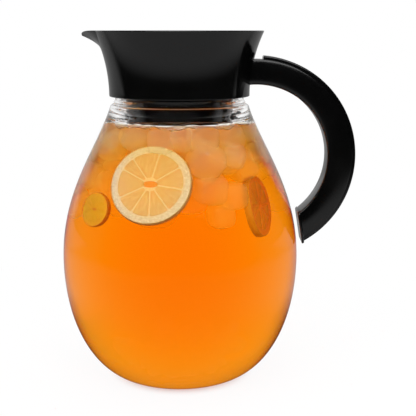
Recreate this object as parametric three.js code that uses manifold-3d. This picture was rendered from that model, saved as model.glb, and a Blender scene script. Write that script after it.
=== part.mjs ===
// An iced tea maker: a clear egg-shaped jug, a black pouring collar with a C handle that turns off
// the jug's neck on a three-start thread, and a brewing insert that lifts out of the collar.
// The insert is a carrier ring with a hinged lid on top and a mesh brew basket below.
// Millimetres, +Z up. The origin is the centre of the jug's flat underside, the spout points along -X
// and the handle along +X.

import * as THREE from "three";
import { mergeVertices } from "three/addons/utils/BufferGeometryUtils.js";
import Module from "manifold-3d";

const wasm = await Module();
wasm.setup();

// Gaps shared by every piece.
const seatGap = 0.3; // between pieces that rest on each other
const runningGap = 0.45; // between pieces that move past each other
const overrun = 1; // how far a cut runs past the face it opens

// Jug.
const baseRadius = 36;
const bellyRadius = 84;
const bellyHeight = 87;
const shoulderHeight = 196.3;
const jugWall = 2.6;
const jugFloor = 4;
const neckRadius = 45;
const neckWall = 2.8;
const neckHeight = 16.7;
const neckRound = 0.8;
const ledgeWidth = 3.2;
const beadDepth = 1.4;
const beadRise = 1;
const beadHeight = 2.4;
const heelReachShare = 0.5;
const flankDropShare = 0.6;
const flankRiseShare = 0.457;
const shoulderInsetShare = 0.26;
const shoulderDropShare = 0.277;

// Thread between the jug's neck and the collar.
const threadStarts = 3;
const threadLead = 16.5;
const threadDepth = 1.4;
const threadRoot = 2.4;
const threadCrest = 1.4;
const threadRise = 9.9;
const threadBury = 0.6;
const jugThreadSweep = 75;
const collarThreadStart = 15;
const collarThreadSweep = 45;

// Neck gasket.
const gasketThickness = 1.7;

// Collar.
const collarWall = 2.3;
const collarLift = 5.7; // from the jug's shoulder ledge to the collar's lower edge
const rimFlare = 10.1;
const webThickness = 2.5;
const throatGap = 4.5;
const throatWall = 2.3;
const throatDrop = 7.5; // how far the throat hangs below the shoulder ledge
const flareFootShare = 0.4;
const flareInsetShare = 0.436;
const flareDropShare = 0.267;
const spoutReach = 11.2;
const spoutHalfWidth = 20;
const spoutDepth = 14.5;
const spoutDip = 3.1;
const spoutFloor = 1.6;
const spoutCurvePower = 2.2;
const spoutDipPower = 5;
const spoutRoundShare = 0.12;
const spoutFootShare = 0.65; // the spout's width where it leaves the collar, of its width at the rim
const shelfWidth = 2.6;
const shelfHeight = 2.4;
const spoutGateHalf = 14;
const bossMargin = 2.6;

// Brewing insert: carrier ring.
const basketRise = 5.7; // from the collar's web to the carrier's sleeve
const sleeveHeight = 9.7;
const sleeveWall = 2.6;
const coneRise = 5.1;
const carrierPlate = 2;
const coneWidth = 7.1;
const carrierSealThickness = 1;
const carrierSealWidth = 1.6;
const upstandWidth = 2.2;
const upstandHeight = 1.3;
const drainSlots = 16;
const drainWidth = 2.6;
const drainMargin = 1;
const guardSlots = 5;
const guardWidth = 2.4;
const guardPitch = 4.2;
const guardLength = 5;

// Brewing insert: lid and hinge.
const lidPlate = 2.2;
const lidRecess = 3.6;
const lidSealThickness = 1;
const lidSkirtDrop = 1.6;
const lidSkirtWall = 1.2;
const wellRadius = 16;
const wellDepth = 8;
const wellRound = 2;
const gripWidth = 9;
const gripThickness = 3;
const gripProud = 3;
const gripTenon = 2.4;
const gripTenonWidth = 5;
const pinRadius = 1.2;
const barrelRadius = 2.4;
const barrelHalfLength = 8.6;
const barrelNeckHeight = 1.9;
const cheekWidth = 4;
const hingeInset = 4.3; // from the lid's edge circle to the hinge axis
const hingeDrop = 1.4; // from the lid's top face to the hinge axis
const deckGap = 0.4;
const lidBackHalf = 19.5; // half width of the lid behind its shoulders
const lidBackReach = 7.4; // from the lid's shoulders to the hinge axis

// Brewing insert: basket.
const basketGap = 0.5;
const basketRingWall = 2.4;
const basketRingHeight = 4;
const basketRingRise = 1.7;
const basketWall = 1.6;
const basketShrink = 0.8;
const basketRibs = 8;
const ribWidth = 2.4;
const basketFootLift = 1.2; // how far the basket stays above the throat's lower edge
const basketFootHeight = 2.5;
const basketFootWidth = 4.5;
const hubRadius = 5;
const spokes = 5;
const hoopHeight = 2;
const meshThickness = 0.5;
const lugDepth = 1.7;
const lugHeight = 2;
const lugRise = 2.6;
const lugs = 3;
const lugSweep = 12;
const twistSweep = 30;
const windowPlay = 2;
const windowGap = 0.25;

// Handle.
const handleStandoff = 4.3; // from the collar's foot radius to the centre of the handle's arc
const fingerRoom = 19.8; // from the jug's widest ring to the handle's inner face
const handleDepth = 17.3;
const handleWidth = 22;
const handleWall = 2.4;
const handleSideWall = 3.6;
const handleInnerRound = 3;
const handleOuterRound = 1.2;
const coverSeatDepth = 3.4;
const coverSeatWall = 2.4;
const coverProud = 2.6;
const coverWall = 2.2;
const coverRound = 1.1;
const coverStart = 4.8; // bare stretch of the handle's back between the collar and the cover
const handleGap = 3.5;
const endCapThickness = 1.7;
const endCapProud = 0.5;
const endCapTongue = 4;
const endCapTongueWall = 1.4;
const bossRise = 0.45; // screw axis above the collar's web

// Handle screws.
const screwRadius = 1.25;
const screwHeadRadius = 2.3;
const screwHeadHeight = 1.8;
const screwLength = 10;
const screwRecess = 0.9;
const screwRecessRadius = 1.1;
const screwSideGap = 0.6;

// Facets.
const turnSteps = 40;
const innerSteps = 32;
const smallSteps = 12;
const curveSteps = 7;
const handleSteps = 22;
const threadSteps = 6;
const spoutSteps = 12;
const spoutSectorShare = 1.1;

// Heights that stack up from the table.
const neckTop = shoulderHeight + neckHeight;
const collarFoot = shoulderHeight + collarLift;
const gasketFoot = neckTop + seatGap;
const webUnder = gasketFoot + gasketThickness + seatGap;
const webTop = webUnder + webThickness;
const throatFoot = shoulderHeight - throatDrop;
const sleeveFoot = webTop + basketRise;
const sleeveTop = sleeveFoot + sleeveHeight;
const flangeTop = sleeveTop + coneRise;
const flangeUnder = flangeTop - carrierPlate;
const shelfTop = flangeUnder - seatGap - carrierSealThickness - seatGap;
const upstandTop = flangeTop + upstandHeight;
const lidSealFoot = upstandTop + seatGap;
const lidUnder = lidSealFoot + lidSealThickness + seatGap;
const lidTop = lidUnder + lidPlate;
const rimHeight = lidTop + lidRecess;
const collarHeight = rimHeight - collarFoot;

// Radii that follow from each other, from the neck outwards and inwards.
const shoulderRadius = neckRadius + ledgeWidth;
const neckBore = neckRadius - neckWall;
const collarBore = neckRadius + threadDepth + runningGap;
const collarFootRadius = collarBore + collarWall;
const collarRimRadius = collarFootRadius + rimFlare;
const throatRadius = neckBore - throatGap;
const throatBore = throatRadius - throatWall;
const basketRingRadius = throatBore - basketGap - basketShrink;
const basketRadius = basketRingRadius - basketShrink;
const basketInner = basketRadius - basketWall;
const sleeveInner = basketRingRadius + runningGap;
const sleeveRadius = sleeveInner + sleeveWall;
const coneRadius = sleeveRadius + coneWidth;

const degrees = Math.PI / 180;

// Builders of solids.

// A closed triangle mesh as a manifold solid, turned round if its faces point inwards.
function solidOf(geometry) {
  const bare = geometry.index ? geometry.toNonIndexed() : geometry.clone();
  bare.deleteAttribute("normal");
  bare.deleteAttribute("uv");
  const merged = mergeVertices(bare, 1e-4);
  const corners = merged.index.array;
  const faces = [];
  for (let i = 0; i < corners.length; i += 3) {
    const [a, b, c] = [corners[i], corners[i + 1], corners[i + 2]];
    if (a !== b && b !== c && c !== a) faces.push(a, b, c);
  }
  const vertProperties = new Float32Array(merged.attributes.position.array);
  const make = (list) =>
    new wasm.Manifold(new wasm.Mesh({ numProp: 3, vertProperties, triVerts: new Uint32Array(list) }));
  const made = make(faces);
  return made.volume() > 0 ? made : make(faces.reverse());
}

// A closed profile of [radius, height] points turned round the Z axis.
function revolve(profile, steps = turnSteps) {
  const points = profile.map(([r, z]) => new THREE.Vector2(r, z));
  points.push(points[0].clone());
  return solidOf(new THREE.LatheGeometry(points, steps).rotateX(Math.PI / 2));
}

// A tube about the Z axis.
function tube(outer, inner, low, high, steps = turnSteps) {
  return revolve([[inner, low], [outer, low], [outer, high], [inner, high]], steps);
}

// A solid disc about the Z axis.
function disc(radius, low, high, steps = turnSteps) {
  return solidOf(
    new THREE.CylinderGeometry(radius, radius, high - low, steps)
      .rotateX(Math.PI / 2)
      .translate(0, 0, (low + high) / 2),
  );
}

// A box between two corners.
function block(low, high) {
  const size = high.map((value, i) => value - low[i]);
  const middle = high.map((value, i) => (value + low[i]) / 2);
  return solidOf(new THREE.BoxGeometry(...size).translate(...middle));
}

// A cylinder along the X axis, from one x to another.
function rodAlongX(radius, from, to, y, z, steps = smallSteps) {
  return solidOf(
    new THREE.CylinderGeometry(radius, radius, to - from, steps)
      .rotateZ(Math.PI / 2)
      .translate((from + to) / 2, y, z),
  );
}

// A cylinder along the Y axis, centred on y = 0.
function rodAlongY(radius, halfLength, x, z, steps = smallSteps) {
  return solidOf(new THREE.CylinderGeometry(radius, radius, 2 * halfLength, steps).translate(x, 0, z));
}

// Skins rings of equal count from first to last. The ends are closed by the faces given, or by a fan
// round the middle of the ring.
function loft(rings, capFaces) {
  const count = rings[0].length;
  const positions = rings.flat().flatMap((p) => [p.x, p.y, p.z]);
  const faces = [];
  for (let k = 0; k + 1 < rings.length; k++) {
    for (let i = 0; i < count; i++) {
      const a = k * count + i;
      const b = k * count + ((i + 1) % count);
      faces.push(a, b, b + count, a, b + count, a + count);
    }
  }
  const lastStart = (rings.length - 1) * count;
  if (capFaces) {
    for (const [a, b, c] of capFaces) {
      faces.push(a, c, b, lastStart + a, lastStart + b, lastStart + c);
    }
  } else {
    for (const [ring, start, order] of [[rings[0], 0, 1], [rings.at(-1), lastStart, 0]]) {
      const middle = ring.reduce((sum, p) => sum.add(p), new THREE.Vector3()).divideScalar(count);
      const centre = positions.length / 3;
      positions.push(middle.x, middle.y, order ? middle.z : Math.max(...ring.map((p) => p.z)));
      for (let i = 0; i < count; i++) {
        const pair = [start + i, start + ((i + 1) % count)];
        faces.push(centre, pair[order], pair[1 - order]);
      }
    }
  }
  const geometry = new THREE.BufferGeometry();
  geometry.setAttribute("position", new THREE.Float32BufferAttribute(positions, 3));
  geometry.setIndex(faces);
  return solidOf(geometry);
}

// A sector of a ring about the Z axis, between two angles in degrees.
function ringSector(inner, outer, low, high, from, to) {
  const steps = Math.max(2, Math.ceil((to - from) / 5));
  const rings = [];
  for (let k = 0; k <= steps; k++) {
    const angle = (from + ((to - from) * k) / steps) * degrees;
    const corners = [[inner, low], [outer, low], [outer, high], [inner, high]];
    rings.push(corners.map(([r, z]) => new THREE.Vector3(r * Math.cos(angle), r * Math.sin(angle), z)));
  }
  return loft(rings, [[0, 1, 2], [0, 2, 3]]);
}

// A trapezoid ridge that climbs round the Z axis, wide at its root and narrow at its crest.
function helixRidge(root, crest, startHeight, startAngle, sweep) {
  const rings = [];
  for (let k = 0; k <= threadSteps; k++) {
    const turned = (sweep * k) / threadSteps;
    const angle = (startAngle + turned) * degrees;
    const z = startHeight + (threadLead * turned) / 360;
    const corners = [
      [root, z - threadRoot / 2],
      [crest, z - threadCrest / 2],
      [crest, z + threadCrest / 2],
      [root, z + threadRoot / 2],
    ];
    rings.push(corners.map(([r, h]) => new THREE.Vector3(r * Math.cos(angle), r * Math.sin(angle), h)));
  }
  return loft(rings, [[0, 1, 2], [0, 2, 3]]);
}

function unionOf(solids) {
  return solids.reduce((sum, piece) => sum.add(piece));
}

// Copies of a solid spaced evenly round the Z axis.
function roundCopies(solid, count) {
  const copies = [];
  for (let k = 0; k < count; k++) copies.push(solid.rotate([0, 0, (360 * k) / count]));
  return copies;
}

// Points of a cubic curve through [radius, height] pairs, without its last point.
function cubicPoints(p0, p1, p2, p3, steps = curveSteps) {
  const curve = new THREE.CubicBezierCurve(...[p0, p1, p2, p3].map((p) => new THREE.Vector2(...p)));
  return curve.getPoints(steps).map((p) => [p.x, p.y]);
}

// A path of [radius, height] points moved to its left by a distance.
function offsetPath(path, distance) {
  return path.map(([r, z], i) => {
    const [r0, z0] = path[Math.max(0, i - 1)];
    const [r1, z1] = path[Math.min(path.length - 1, i + 1)];
    const length = Math.hypot(r1 - r0, z1 - z0);
    return [r - (distance * (z1 - z0)) / length, z + (distance * (r1 - r0)) / length];
  });
}

// The radius of a rising path at a height, by straight steps between its points.
function radiusAt(path, height) {
  for (let i = 0; i + 1 < path.length; i++) {
    const [r0, z0] = path[i];
    const [r1, z1] = path[i + 1];
    if (height <= z1) return r0 + ((r1 - r0) * Math.max(0, height - z0)) / (z1 - z0);
  }
  return path.at(-1)[0];
}

// Materials.
function plastic(colour, roughness, extra = {}) {
  return new THREE.MeshStandardMaterial({ color: colour, roughness, metalness: 0, ...extra });
}
const clearPlastic = plastic(0xe8f0f2, 0.05, { transparent: true, opacity: 0.3 });
const blackGloss = plastic(0x0b0b0c, 0.12);
const blackSatin = plastic(0x141415, 0.4);
const blackRubber = plastic(0x1c1c1e, 0.7);
const nylonMesh = plastic(0xb9bcbd, 0.6);
const steel = new THREE.MeshStandardMaterial({ color: 0xb8bbc0, roughness: 0.3, metalness: 1 });

function named(name, solid, material) {
  const made = solid.getMesh();
  const geometry = new THREE.BufferGeometry();
  const positions = new Float32Array(made.numVert * 3);
  for (let i = 0; i < made.numVert; i++) {
    const start = i * made.numProp;
    positions.set(made.vertProperties.subarray(start, start + 3), 3 * i);
  }
  geometry.setAttribute("position", new THREE.BufferAttribute(positions, 3));
  geometry.setIndex(new THREE.BufferAttribute(new Uint32Array(made.triVerts), 1));
  geometry.computeVertexNormals();
  const mesh = new THREE.Mesh(geometry, material);
  mesh.name = name;
  return mesh;
}

// The jug's outer side: a heel and flank that swell to the belly, then a shoulder drawn in to the neck.
const flank = cubicPoints(
  [baseRadius, 0],
  [baseRadius + heelReachShare * (bellyRadius - baseRadius), 0],
  [bellyRadius, bellyHeight * (1 - flankDropShare)],
  [bellyRadius, bellyHeight],
);
const shoulderRun = shoulderHeight - bellyHeight;
const shoulder = cubicPoints(
  [bellyRadius, bellyHeight],
  [bellyRadius, bellyHeight + flankRiseShare * shoulderRun],
  [
    shoulderRadius + shoulderInsetShare * (bellyRadius - shoulderRadius),
    shoulderHeight - shoulderDropShare * shoulderRun,
  ],
  [shoulderRadius, shoulderHeight],
);
const jugSide = [...flank, ...shoulder.slice(1)];

function threadRidges(root, crest, startHeight, startAngle, sweep) {
  return roundCopies(helixRidge(root, crest, startHeight, startAngle, sweep), threadStarts);
}

function makeJug() {
  const beadFoot = shoulderHeight + beadRise;
  const outside = [
    ...jugSide,
    [neckRadius, shoulderHeight],
    [neckRadius, beadFoot],
    [neckRadius + beadDepth, beadFoot + (beadHeight - threadCrest) / 2],
    [neckRadius + beadDepth, beadFoot + (beadHeight + threadCrest) / 2],
    [neckRadius, beadFoot + beadHeight],
    [neckRadius, neckTop - neckRound],
    [neckRadius - neckRound, neckTop],
  ];
  const innerSide = offsetPath(jugSide, jugWall).filter(([r, z]) => z > jugFloor && r > neckBore);
  const floorRadius = radiusAt(innerSide, jugFloor) - jugFloor;
  const inside = [
    [0, jugFloor],
    [floorRadius, jugFloor],
    ...innerSide.filter(([, z]) => z > jugFloor + jugWall / 2),
    [neckBore, shoulderHeight],
    [neckBore, neckTop - neckRound],
    [neckBore + neckRound, neckTop],
  ];
  const shell = revolve([[0, 0], ...outside, ...inside.reverse()]);
  const ridges = threadRidges(
    neckRadius - threadBury, neckRadius + threadDepth, shoulderHeight + threadRise, 0, jugThreadSweep,
  );
  return unionOf([shell, ...ridges]);
}

function makeNeckGasket() {
  return tube(neckRadius, neckBore, gasketFoot, gasketFoot + gasketThickness, innerSteps);
}

// The collar's side: upright at its foot, flaring to the rim.
const collarSide = cubicPoints(
  [collarFootRadius, collarFoot],
  [collarFootRadius, collarFoot + flareFootShare * collarHeight],
  [collarFootRadius + flareInsetShare * rimFlare, rimHeight - flareDropShare * collarHeight],
  [collarRimRadius, rimHeight],
);

// How far round the rim a point lies from the spout's ridge, as a share of the spout's half width.
function spoutShare(angle, halfWidth) {
  const away = Math.abs(Math.atan2(-Math.sin(angle), -Math.cos(angle)));
  return (away * collarRimRadius) / halfWidth;
}

// The rim's height, which dips towards the spout's tip.
function rimAt(angle) {
  return rimHeight - spoutDip * Math.max(0, 1 - spoutShare(angle, spoutHalfWidth)) ** spoutDipPower;
}

// How far the spout stands out of the collar. Its cross-section is a V with a rounded ridge, which
// narrows and fades towards the spout's foot.
function spoutOut(angle, height) {
  const foot = rimHeight - spoutDepth;
  const up = Math.min(1, Math.max(0, (height - foot) / (rimAt(angle) - foot)));
  const halfWidth = spoutHalfWidth * (spoutFootShare + (1 - spoutFootShare) * up);
  const round = Math.hypot(spoutShare(angle, halfWidth), spoutRoundShare);
  return spoutReach * up ** spoutCurvePower * Math.max(0, (1 - round) / (1 - spoutRoundShare));
}

// Angles round the collar, closer together across the spout.
const sector = (spoutSectorShare * spoutHalfWidth) / collarRimRadius;
const collarAngles = [];
for (let k = 0; k < spoutSteps; k++) collarAngles.push(Math.PI - sector + (2 * sector * k) / spoutSteps);
for (let k = 0; k < turnSteps; k++) {
  collarAngles.push(Math.PI + sector + ((2 * Math.PI - 2 * sector) * k) / turnSteps);
}

// A ring round the Z axis, with the radius and height given at each angle.
function ringOf(radiusOf, heightOf) {
  return collarAngles.map((angle) => {
    const z = heightOf(angle);
    const r = radiusOf(angle, z);
    return new THREE.Vector3(r * Math.cos(angle), r * Math.sin(angle), z);
  });
}

function collarOuter(angle, z) {
  return radiusAt(collarSide, z) + spoutOut(angle, z);
}

function collarInner(angle, z) {
  return radiusAt(collarSide, z) - collarWall + spoutOut(angle, z - spoutFloor);
}

// Where the screws stand, across the handle and up from the table.
const cavityHalf = handleWidth / 2 - handleSideWall;
const screwY = cavityHalf - screwHeadRadius - screwSideGap;
const screwZ = webTop + bossRise;
const handleX = collarFootRadius + handleStandoff; // centre of the handle's arc
const screwTip = handleX + seatGap - screwLength;

function screwHoles(from, to) {
  const radius = screwRadius + seatGap;
  return [-screwY, screwY].map((y) => rodAlongX(radius, from, to, y, screwZ));
}

// The room left open under the lid on the spout's side, where the shelf and its seal stop.
function spoutGate() {
  return block(
    [-collarRimRadius, -spoutGateHalf, shelfTop - shelfHeight - shelfWidth - overrun],
    [0, spoutGateHalf, flangeUnder],
  );
}

function makeCollar() {
  const heights = collarSide.map(([, z]) => z);
  const outerRings = heights.map((z) =>
    ringOf(collarOuter, (angle) => collarFoot + ((z - collarFoot) * (rimAt(angle) - collarFoot)) / collarHeight),
  );
  const body = loft(outerRings);
  const cupTop = rimHeight + overrun;
  const cupHeights = [webTop, ...heights.filter((z) => z > webTop + overrun), cupTop];
  const cup = loft(cupHeights.map((z) => ringOf(collarInner, () => z)));
  const neckRoom = disc(collarBore, collarFoot - overrun, webUnder);
  const throat = disc(throatRadius, throatFoot, webTop);
  const throatHole = disc(throatBore, throatFoot - overrun, webTop + overrun);
  const shelfOuter = radiusAt(collarSide, shelfTop) - collarWall / 2;
  const shelfInner = radiusAt(collarSide, shelfTop) - collarWall - shelfWidth;
  const shelfRing = revolve([
    [shelfInner, shelfTop],
    [shelfOuter - shelfWidth / 2, shelfTop - shelfHeight - shelfWidth],
    [shelfOuter, shelfTop - shelfHeight],
    [shelfOuter, shelfTop],
  ]);
  const bossHalf = screwY + screwRadius + bossMargin;
  const bossOuter = collarFootRadius - seatGap;
  const bossTop = screwZ + screwRadius + bossMargin;
  const boss = block([screwTip - bossMargin, -bossHalf, webUnder], [bossOuter, bossHalf, bossTop]);
  const ridges = threadRidges(
    collarBore + threadBury,
    neckRadius + runningGap,
    shoulderHeight + threadRise - threadRoot - seatGap + (threadLead * collarThreadStart) / 360,
    collarThreadStart,
    collarThreadSweep,
  );
  return unionOf([
    body.subtract(cup).subtract(neckRoom),
    throat,
    shelfRing.subtract(spoutGate()),
    boss,
    ...ridges,
  ])
    .subtract(throatHole)
    .subtract(unionOf(screwHoles(screwTip - seatGap, handleX)));
}

// The handle is a U channel on a circular arc, open along its back, with a cover let into the back.
const handleInner = bellyRadius + fingerRoom - handleX;
const handleZ = screwZ - (handleDepth - coverSeatDepth + handleWall) / 2 - handleInner;
const handleOuter = handleInner + handleDepth;
const coverOuter = handleOuter + coverProud;
const coverFoot = handleOuter - coverSeatDepth + seatGap;
const coverHalf = handleWidth / 2 - coverSeatWall - seatGap;

// A point of the handle, from its angle on the arc, its distance from the arc's centre and its y.
function handlePoint(angle, distance, y) {
  return new THREE.Vector3(
    handleX + distance * Math.cos(angle * degrees),
    y,
    handleZ + distance * Math.sin(angle * degrees),
  );
}

// The angle at which a circle about the handle's centre comes within a gap of the jug's side.
function angleAtJug(distance, gap) {
  let angle = 0;
  while (angle > -90) {
    const p = handlePoint(angle, distance, 0);
    if (p.x < radiusAt(jugSide, p.z) + gap) break;
    angle -= 0.25;
  }
  return angle;
}

const endTop = handlePoint(angleAtJug(handleInner, handleGap), handleInner, 0);
const endFoot = handlePoint(angleAtJug(coverOuter, handleGap), coverOuter, 0);
const endTurn = Math.atan2(endTop.x - endFoot.x, endTop.z - endFoot.z) / degrees;
const rootAngle = 100;
const coverStartAngle = 90 - coverStart / handleOuter / degrees;
const pastEndAngle = angleAtJug(coverOuter, -handleDepth);
const endReach = 4 * handleDepth;

// Everything on the jug's side of the handle's end plane, moved back into the handle by a distance.
function jugSideOf(back) {
  return block([-endReach, -handleWidth, -endReach], [back, handleWidth, endReach])
    .rotate([0, endTurn, 0])
    .translate([endFoot.x, 0, endFoot.z]);
}

// A closed outline of [distance, y] points swept along the handle's arc.
function handleSweep(outline, fromAngle, toAngle) {
  const rings = [];
  for (let k = 0; k <= handleSteps; k++) {
    const angle = fromAngle + ((toAngle - fromAngle) * k) / handleSteps;
    rings.push(outline.map(([distance, y]) => handlePoint(angle, distance, y)));
  }
  const flat = outline.map(([distance, y]) => new THREE.Vector2(distance, y));
  return loft(rings, THREE.ShapeUtils.triangulateShape(flat, []));
}

// A rectangle in [distance, y], with its two inner and two outer corners rounded.
function roundedSection(low, high, half, innerRound, outerRound) {
  const shape = new THREE.Shape();
  shape.moveTo(low + innerRound, -half);
  shape.lineTo(high - outerRound, -half);
  shape.absarc(high - outerRound, -half + outerRound, outerRound, -Math.PI / 2, 0, false);
  shape.absarc(high - outerRound, half - outerRound, outerRound, 0, Math.PI / 2, false);
  shape.absarc(low + innerRound, half - innerRound, innerRound, Math.PI / 2, Math.PI, false);
  shape.absarc(low + innerRound, -half + innerRound, innerRound, Math.PI, 1.5 * Math.PI, false);
  const points = shape.getPoints(2).map((p) => [p.x, p.y]);
  const apart = ([r0, y0], [r1, y1]) => Math.hypot(r1 - r0, y1 - y0) > 1e-3 * half;
  return points.filter((p, i) => apart(p, points[(i + 1) % points.length]));
}

// A plain rectangle in [distance, y].
function sectionBetween(low, high, half) {
  return [[low, -half], [high, -half], [high, half], [low, half]];
}

function makeHandleShell() {
  const half = handleWidth / 2;
  const whole = handleSweep(
    roundedSection(handleInner, handleOuter, half, handleInnerRound, handleOuterRound), rootAngle, pastEndAngle,
  );
  const seatHalf = half - coverSeatWall;
  const room = handleSweep(
    sectionBetween(handleInner + handleWall, handleOuter - coverSeatDepth, cavityHalf), 90, pastEndAngle - 1,
  );
  const seat = handleSweep(
    sectionBetween(handleOuter - coverSeatDepth - seatGap, handleOuter + overrun, seatHalf),
    coverStartAngle + seatGap / handleOuter / degrees,
    pastEndAngle - 1,
  );
  const collarSolid = revolve([
    [0, collarFoot],
    ...collarSide.map(([r, z]) => [r + seatGap, z]),
    [0, rimHeight],
  ]);
  return whole
    .subtract(room)
    .subtract(seat)
    .subtract(collarSolid)
    .subtract(unionOf(screwHoles(collarBore, handleX + overrun)))
    .subtract(jugSideOf(endCapThickness + seatGap));
}

function makeHandleCover() {
  const strip = handleSweep(
    roundedSection(coverFoot, coverOuter, coverHalf, 0.2 * coverRound, coverRound),
    coverStartAngle,
    pastEndAngle,
  );
  const hollowHalf = coverHalf - coverWall;
  const hollow = handleSweep(
    sectionBetween(coverFoot - overrun, coverOuter - coverWall, hollowHalf),
    coverStartAngle - coverWall / handleOuter / degrees,
    pastEndAngle,
  );
  return strip.subtract(hollow).subtract(jugSideOf(endCapThickness + seatGap));
}

function makeHandleEndCap() {
  const half = handleWidth / 2 + endCapProud;
  const plate = handleSweep(
    roundedSection(
      handleInner - endCapProud, coverOuter + endCapProud, half, handleInnerRound, handleOuterRound,
    ),
    -30,
    pastEndAngle,
  );
  const tongueGap = seatGap;
  const tongueOuter = roundedSection(
    handleInner + handleWall + tongueGap,
    coverFoot - tongueGap,
    cavityHalf - tongueGap,
    endCapTongueWall,
    endCapTongueWall,
  );
  const tongueInner = roundedSection(
    handleInner + handleWall + tongueGap + endCapTongueWall,
    coverFoot - tongueGap - endCapTongueWall,
    cavityHalf - tongueGap - endCapTongueWall,
    0.3 * endCapTongueWall,
    0.3 * endCapTongueWall,
  );
  const tongue = handleSweep(tongueOuter, -30, pastEndAngle).subtract(
    handleSweep(tongueInner, -29, pastEndAngle - 1),
  );
  const thin = jugSideOf(endCapThickness).subtract(jugSideOf(0));
  const deep = jugSideOf(endCapThickness + endCapTongue).subtract(jugSideOf(endCapThickness / 2));
  return plate.intersect(thin).add(tongue.intersect(deep));
}

function makeHandleScrew(y) {
  const seat = handleX + seatGap;
  const head = rodAlongX(screwHeadRadius, seat, seat + screwHeadHeight, y, screwZ);
  const shank = rodAlongX(screwRadius, screwTip, seat + screwHeadHeight / 2, y, screwZ);
  const recess = rodAlongX(
    screwRecessRadius, seat + screwHeadHeight - screwRecess, seat + screwHeadHeight + overrun, y, screwZ, 6,
  );
  return head.add(shank).subtract(recess);
}

// The carrier ring's flange runs out to the collar's shelf and carries the hinge deck at the back.
const flangeRadius = radiusAt(collarSide, flangeUnder) - collarWall - runningGap;
const lidRadius = radiusAt(collarSide, lidUnder) - collarWall - runningGap;
const hingeX = lidRadius - hingeInset;
const hingeZ = lidTop - hingeDrop;
const deckX = hingeX - barrelRadius - deckGap;
const cheekOuter = barrelHalfLength + runningGap + cheekWidth;

// The room behind the lid, which the hinge deck fills. The lid is narrower from its shoulders back to
// the hinge, so that its corners clear the collar's wall as it opens.
function behindLid(gap, low, high) {
  const shoulder = hingeX - lidBackReach + gap;
  const half = lidBackHalf + gap;
  return unionOf([
    block([deckX - deckGap + gap, -collarRimRadius, low], [collarRimRadius, collarRimRadius, high]),
    block([shoulder, half, low], [collarRimRadius, collarRimRadius, high]),
    block([shoulder, -collarRimRadius, low], [collarRimRadius, -half, high]),
  ]);
}

function makeBasketCarrier() {
  const coneInner = sleeveRadius;
  const body = revolve([
    [sleeveInner, sleeveFoot],
    [sleeveRadius, sleeveFoot],
    [coneInner, sleeveTop - carrierPlate],
    [coneRadius, flangeUnder],
    [flangeRadius, flangeUnder],
    [flangeRadius, flangeTop],
    [coneRadius + upstandWidth, flangeTop],
    [coneRadius + upstandWidth, upstandTop],
    [coneRadius, upstandTop],
    [coneRadius, flangeTop],
    [coneInner, sleeveTop],
    [sleeveInner, sleeveTop],
  ], innerSteps);
  const drain = block(
    [sleeveRadius + drainMargin, -drainWidth / 2, sleeveTop - carrierPlate - overrun],
    [coneRadius - drainMargin, drainWidth / 2, flangeTop + overrun],
  );
  const guard = [];
  for (let k = 0; k < guardSlots; k++) {
    const y = (k - (guardSlots - 1) / 2) * guardPitch;
    guard.push(
      block(
        [-flangeRadius - overrun, y - guardWidth / 2, flangeUnder - overrun],
        [-flangeRadius + guardLength, y + guardWidth / 2, flangeTop + overrun],
      ),
    );
  }
  const deck = disc(flangeRadius, flangeUnder, lidTop).intersect(behindLid(deckGap, flangeUnder, lidTop));
  const barrelRoom = rodAlongY(barrelRadius + runningGap, barrelHalfLength + runningGap, hingeX, hingeZ).add(
    block(
      [deckX - overrun, -barrelHalfLength - runningGap, hingeZ - barrelRadius - runningGap],
      [hingeX + barrelRadius + runningGap, barrelHalfLength + runningGap, lidTop + overrun],
    ),
  );
  const cheeks = [-1, 1].map((side) =>
    rodAlongY(barrelRadius, cheekWidth / 2, hingeX, hingeZ).translate([
      0, side * (barrelHalfLength + runningGap + cheekWidth / 2), 0,
    ]),
  );
  const pinHole = rodAlongY(pinRadius + seatGap, cheekOuter + overrun, hingeX, hingeZ);
  const half = lugSweep / 2 + windowPlay;
  const lugFloor = sleeveFoot + lugRise - windowGap;
  const window = ringSector(
    sleeveInner - overrun, sleeveRadius + overrun, lugFloor, lugFloor + lugHeight + 2 * windowGap,
    -half, twistSweep + half,
  );
  const entry = ringSector(
    sleeveInner - overrun, sleeveRadius + overrun, sleeveFoot - overrun, lugFloor + lugHeight,
    twistSweep - half, twistSweep + half,
  );
  return body
    .subtract(unionOf(roundCopies(drain, drainSlots)))
    .subtract(unionOf(guard))
    .add(deck)
    .subtract(barrelRoom)
    .add(unionOf(cheeks))
    .subtract(pinHole)
    .subtract(unionOf(roundCopies(window.add(entry), lugs)));
}

function makeCarrierSeal() {
  const foot = shelfTop + seatGap;
  const inner = flangeRadius - carrierSealWidth - seatGap;
  return tube(inner + carrierSealWidth, inner, foot, foot + carrierSealThickness, innerSteps).subtract(spoutGate());
}

// The lid's edge follows the collar's mouth, with a beak that drops into the spout.
function lidEdge(angle, z) {
  return lidRadius + spoutOut(angle, z - spoutFloor);
}

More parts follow.
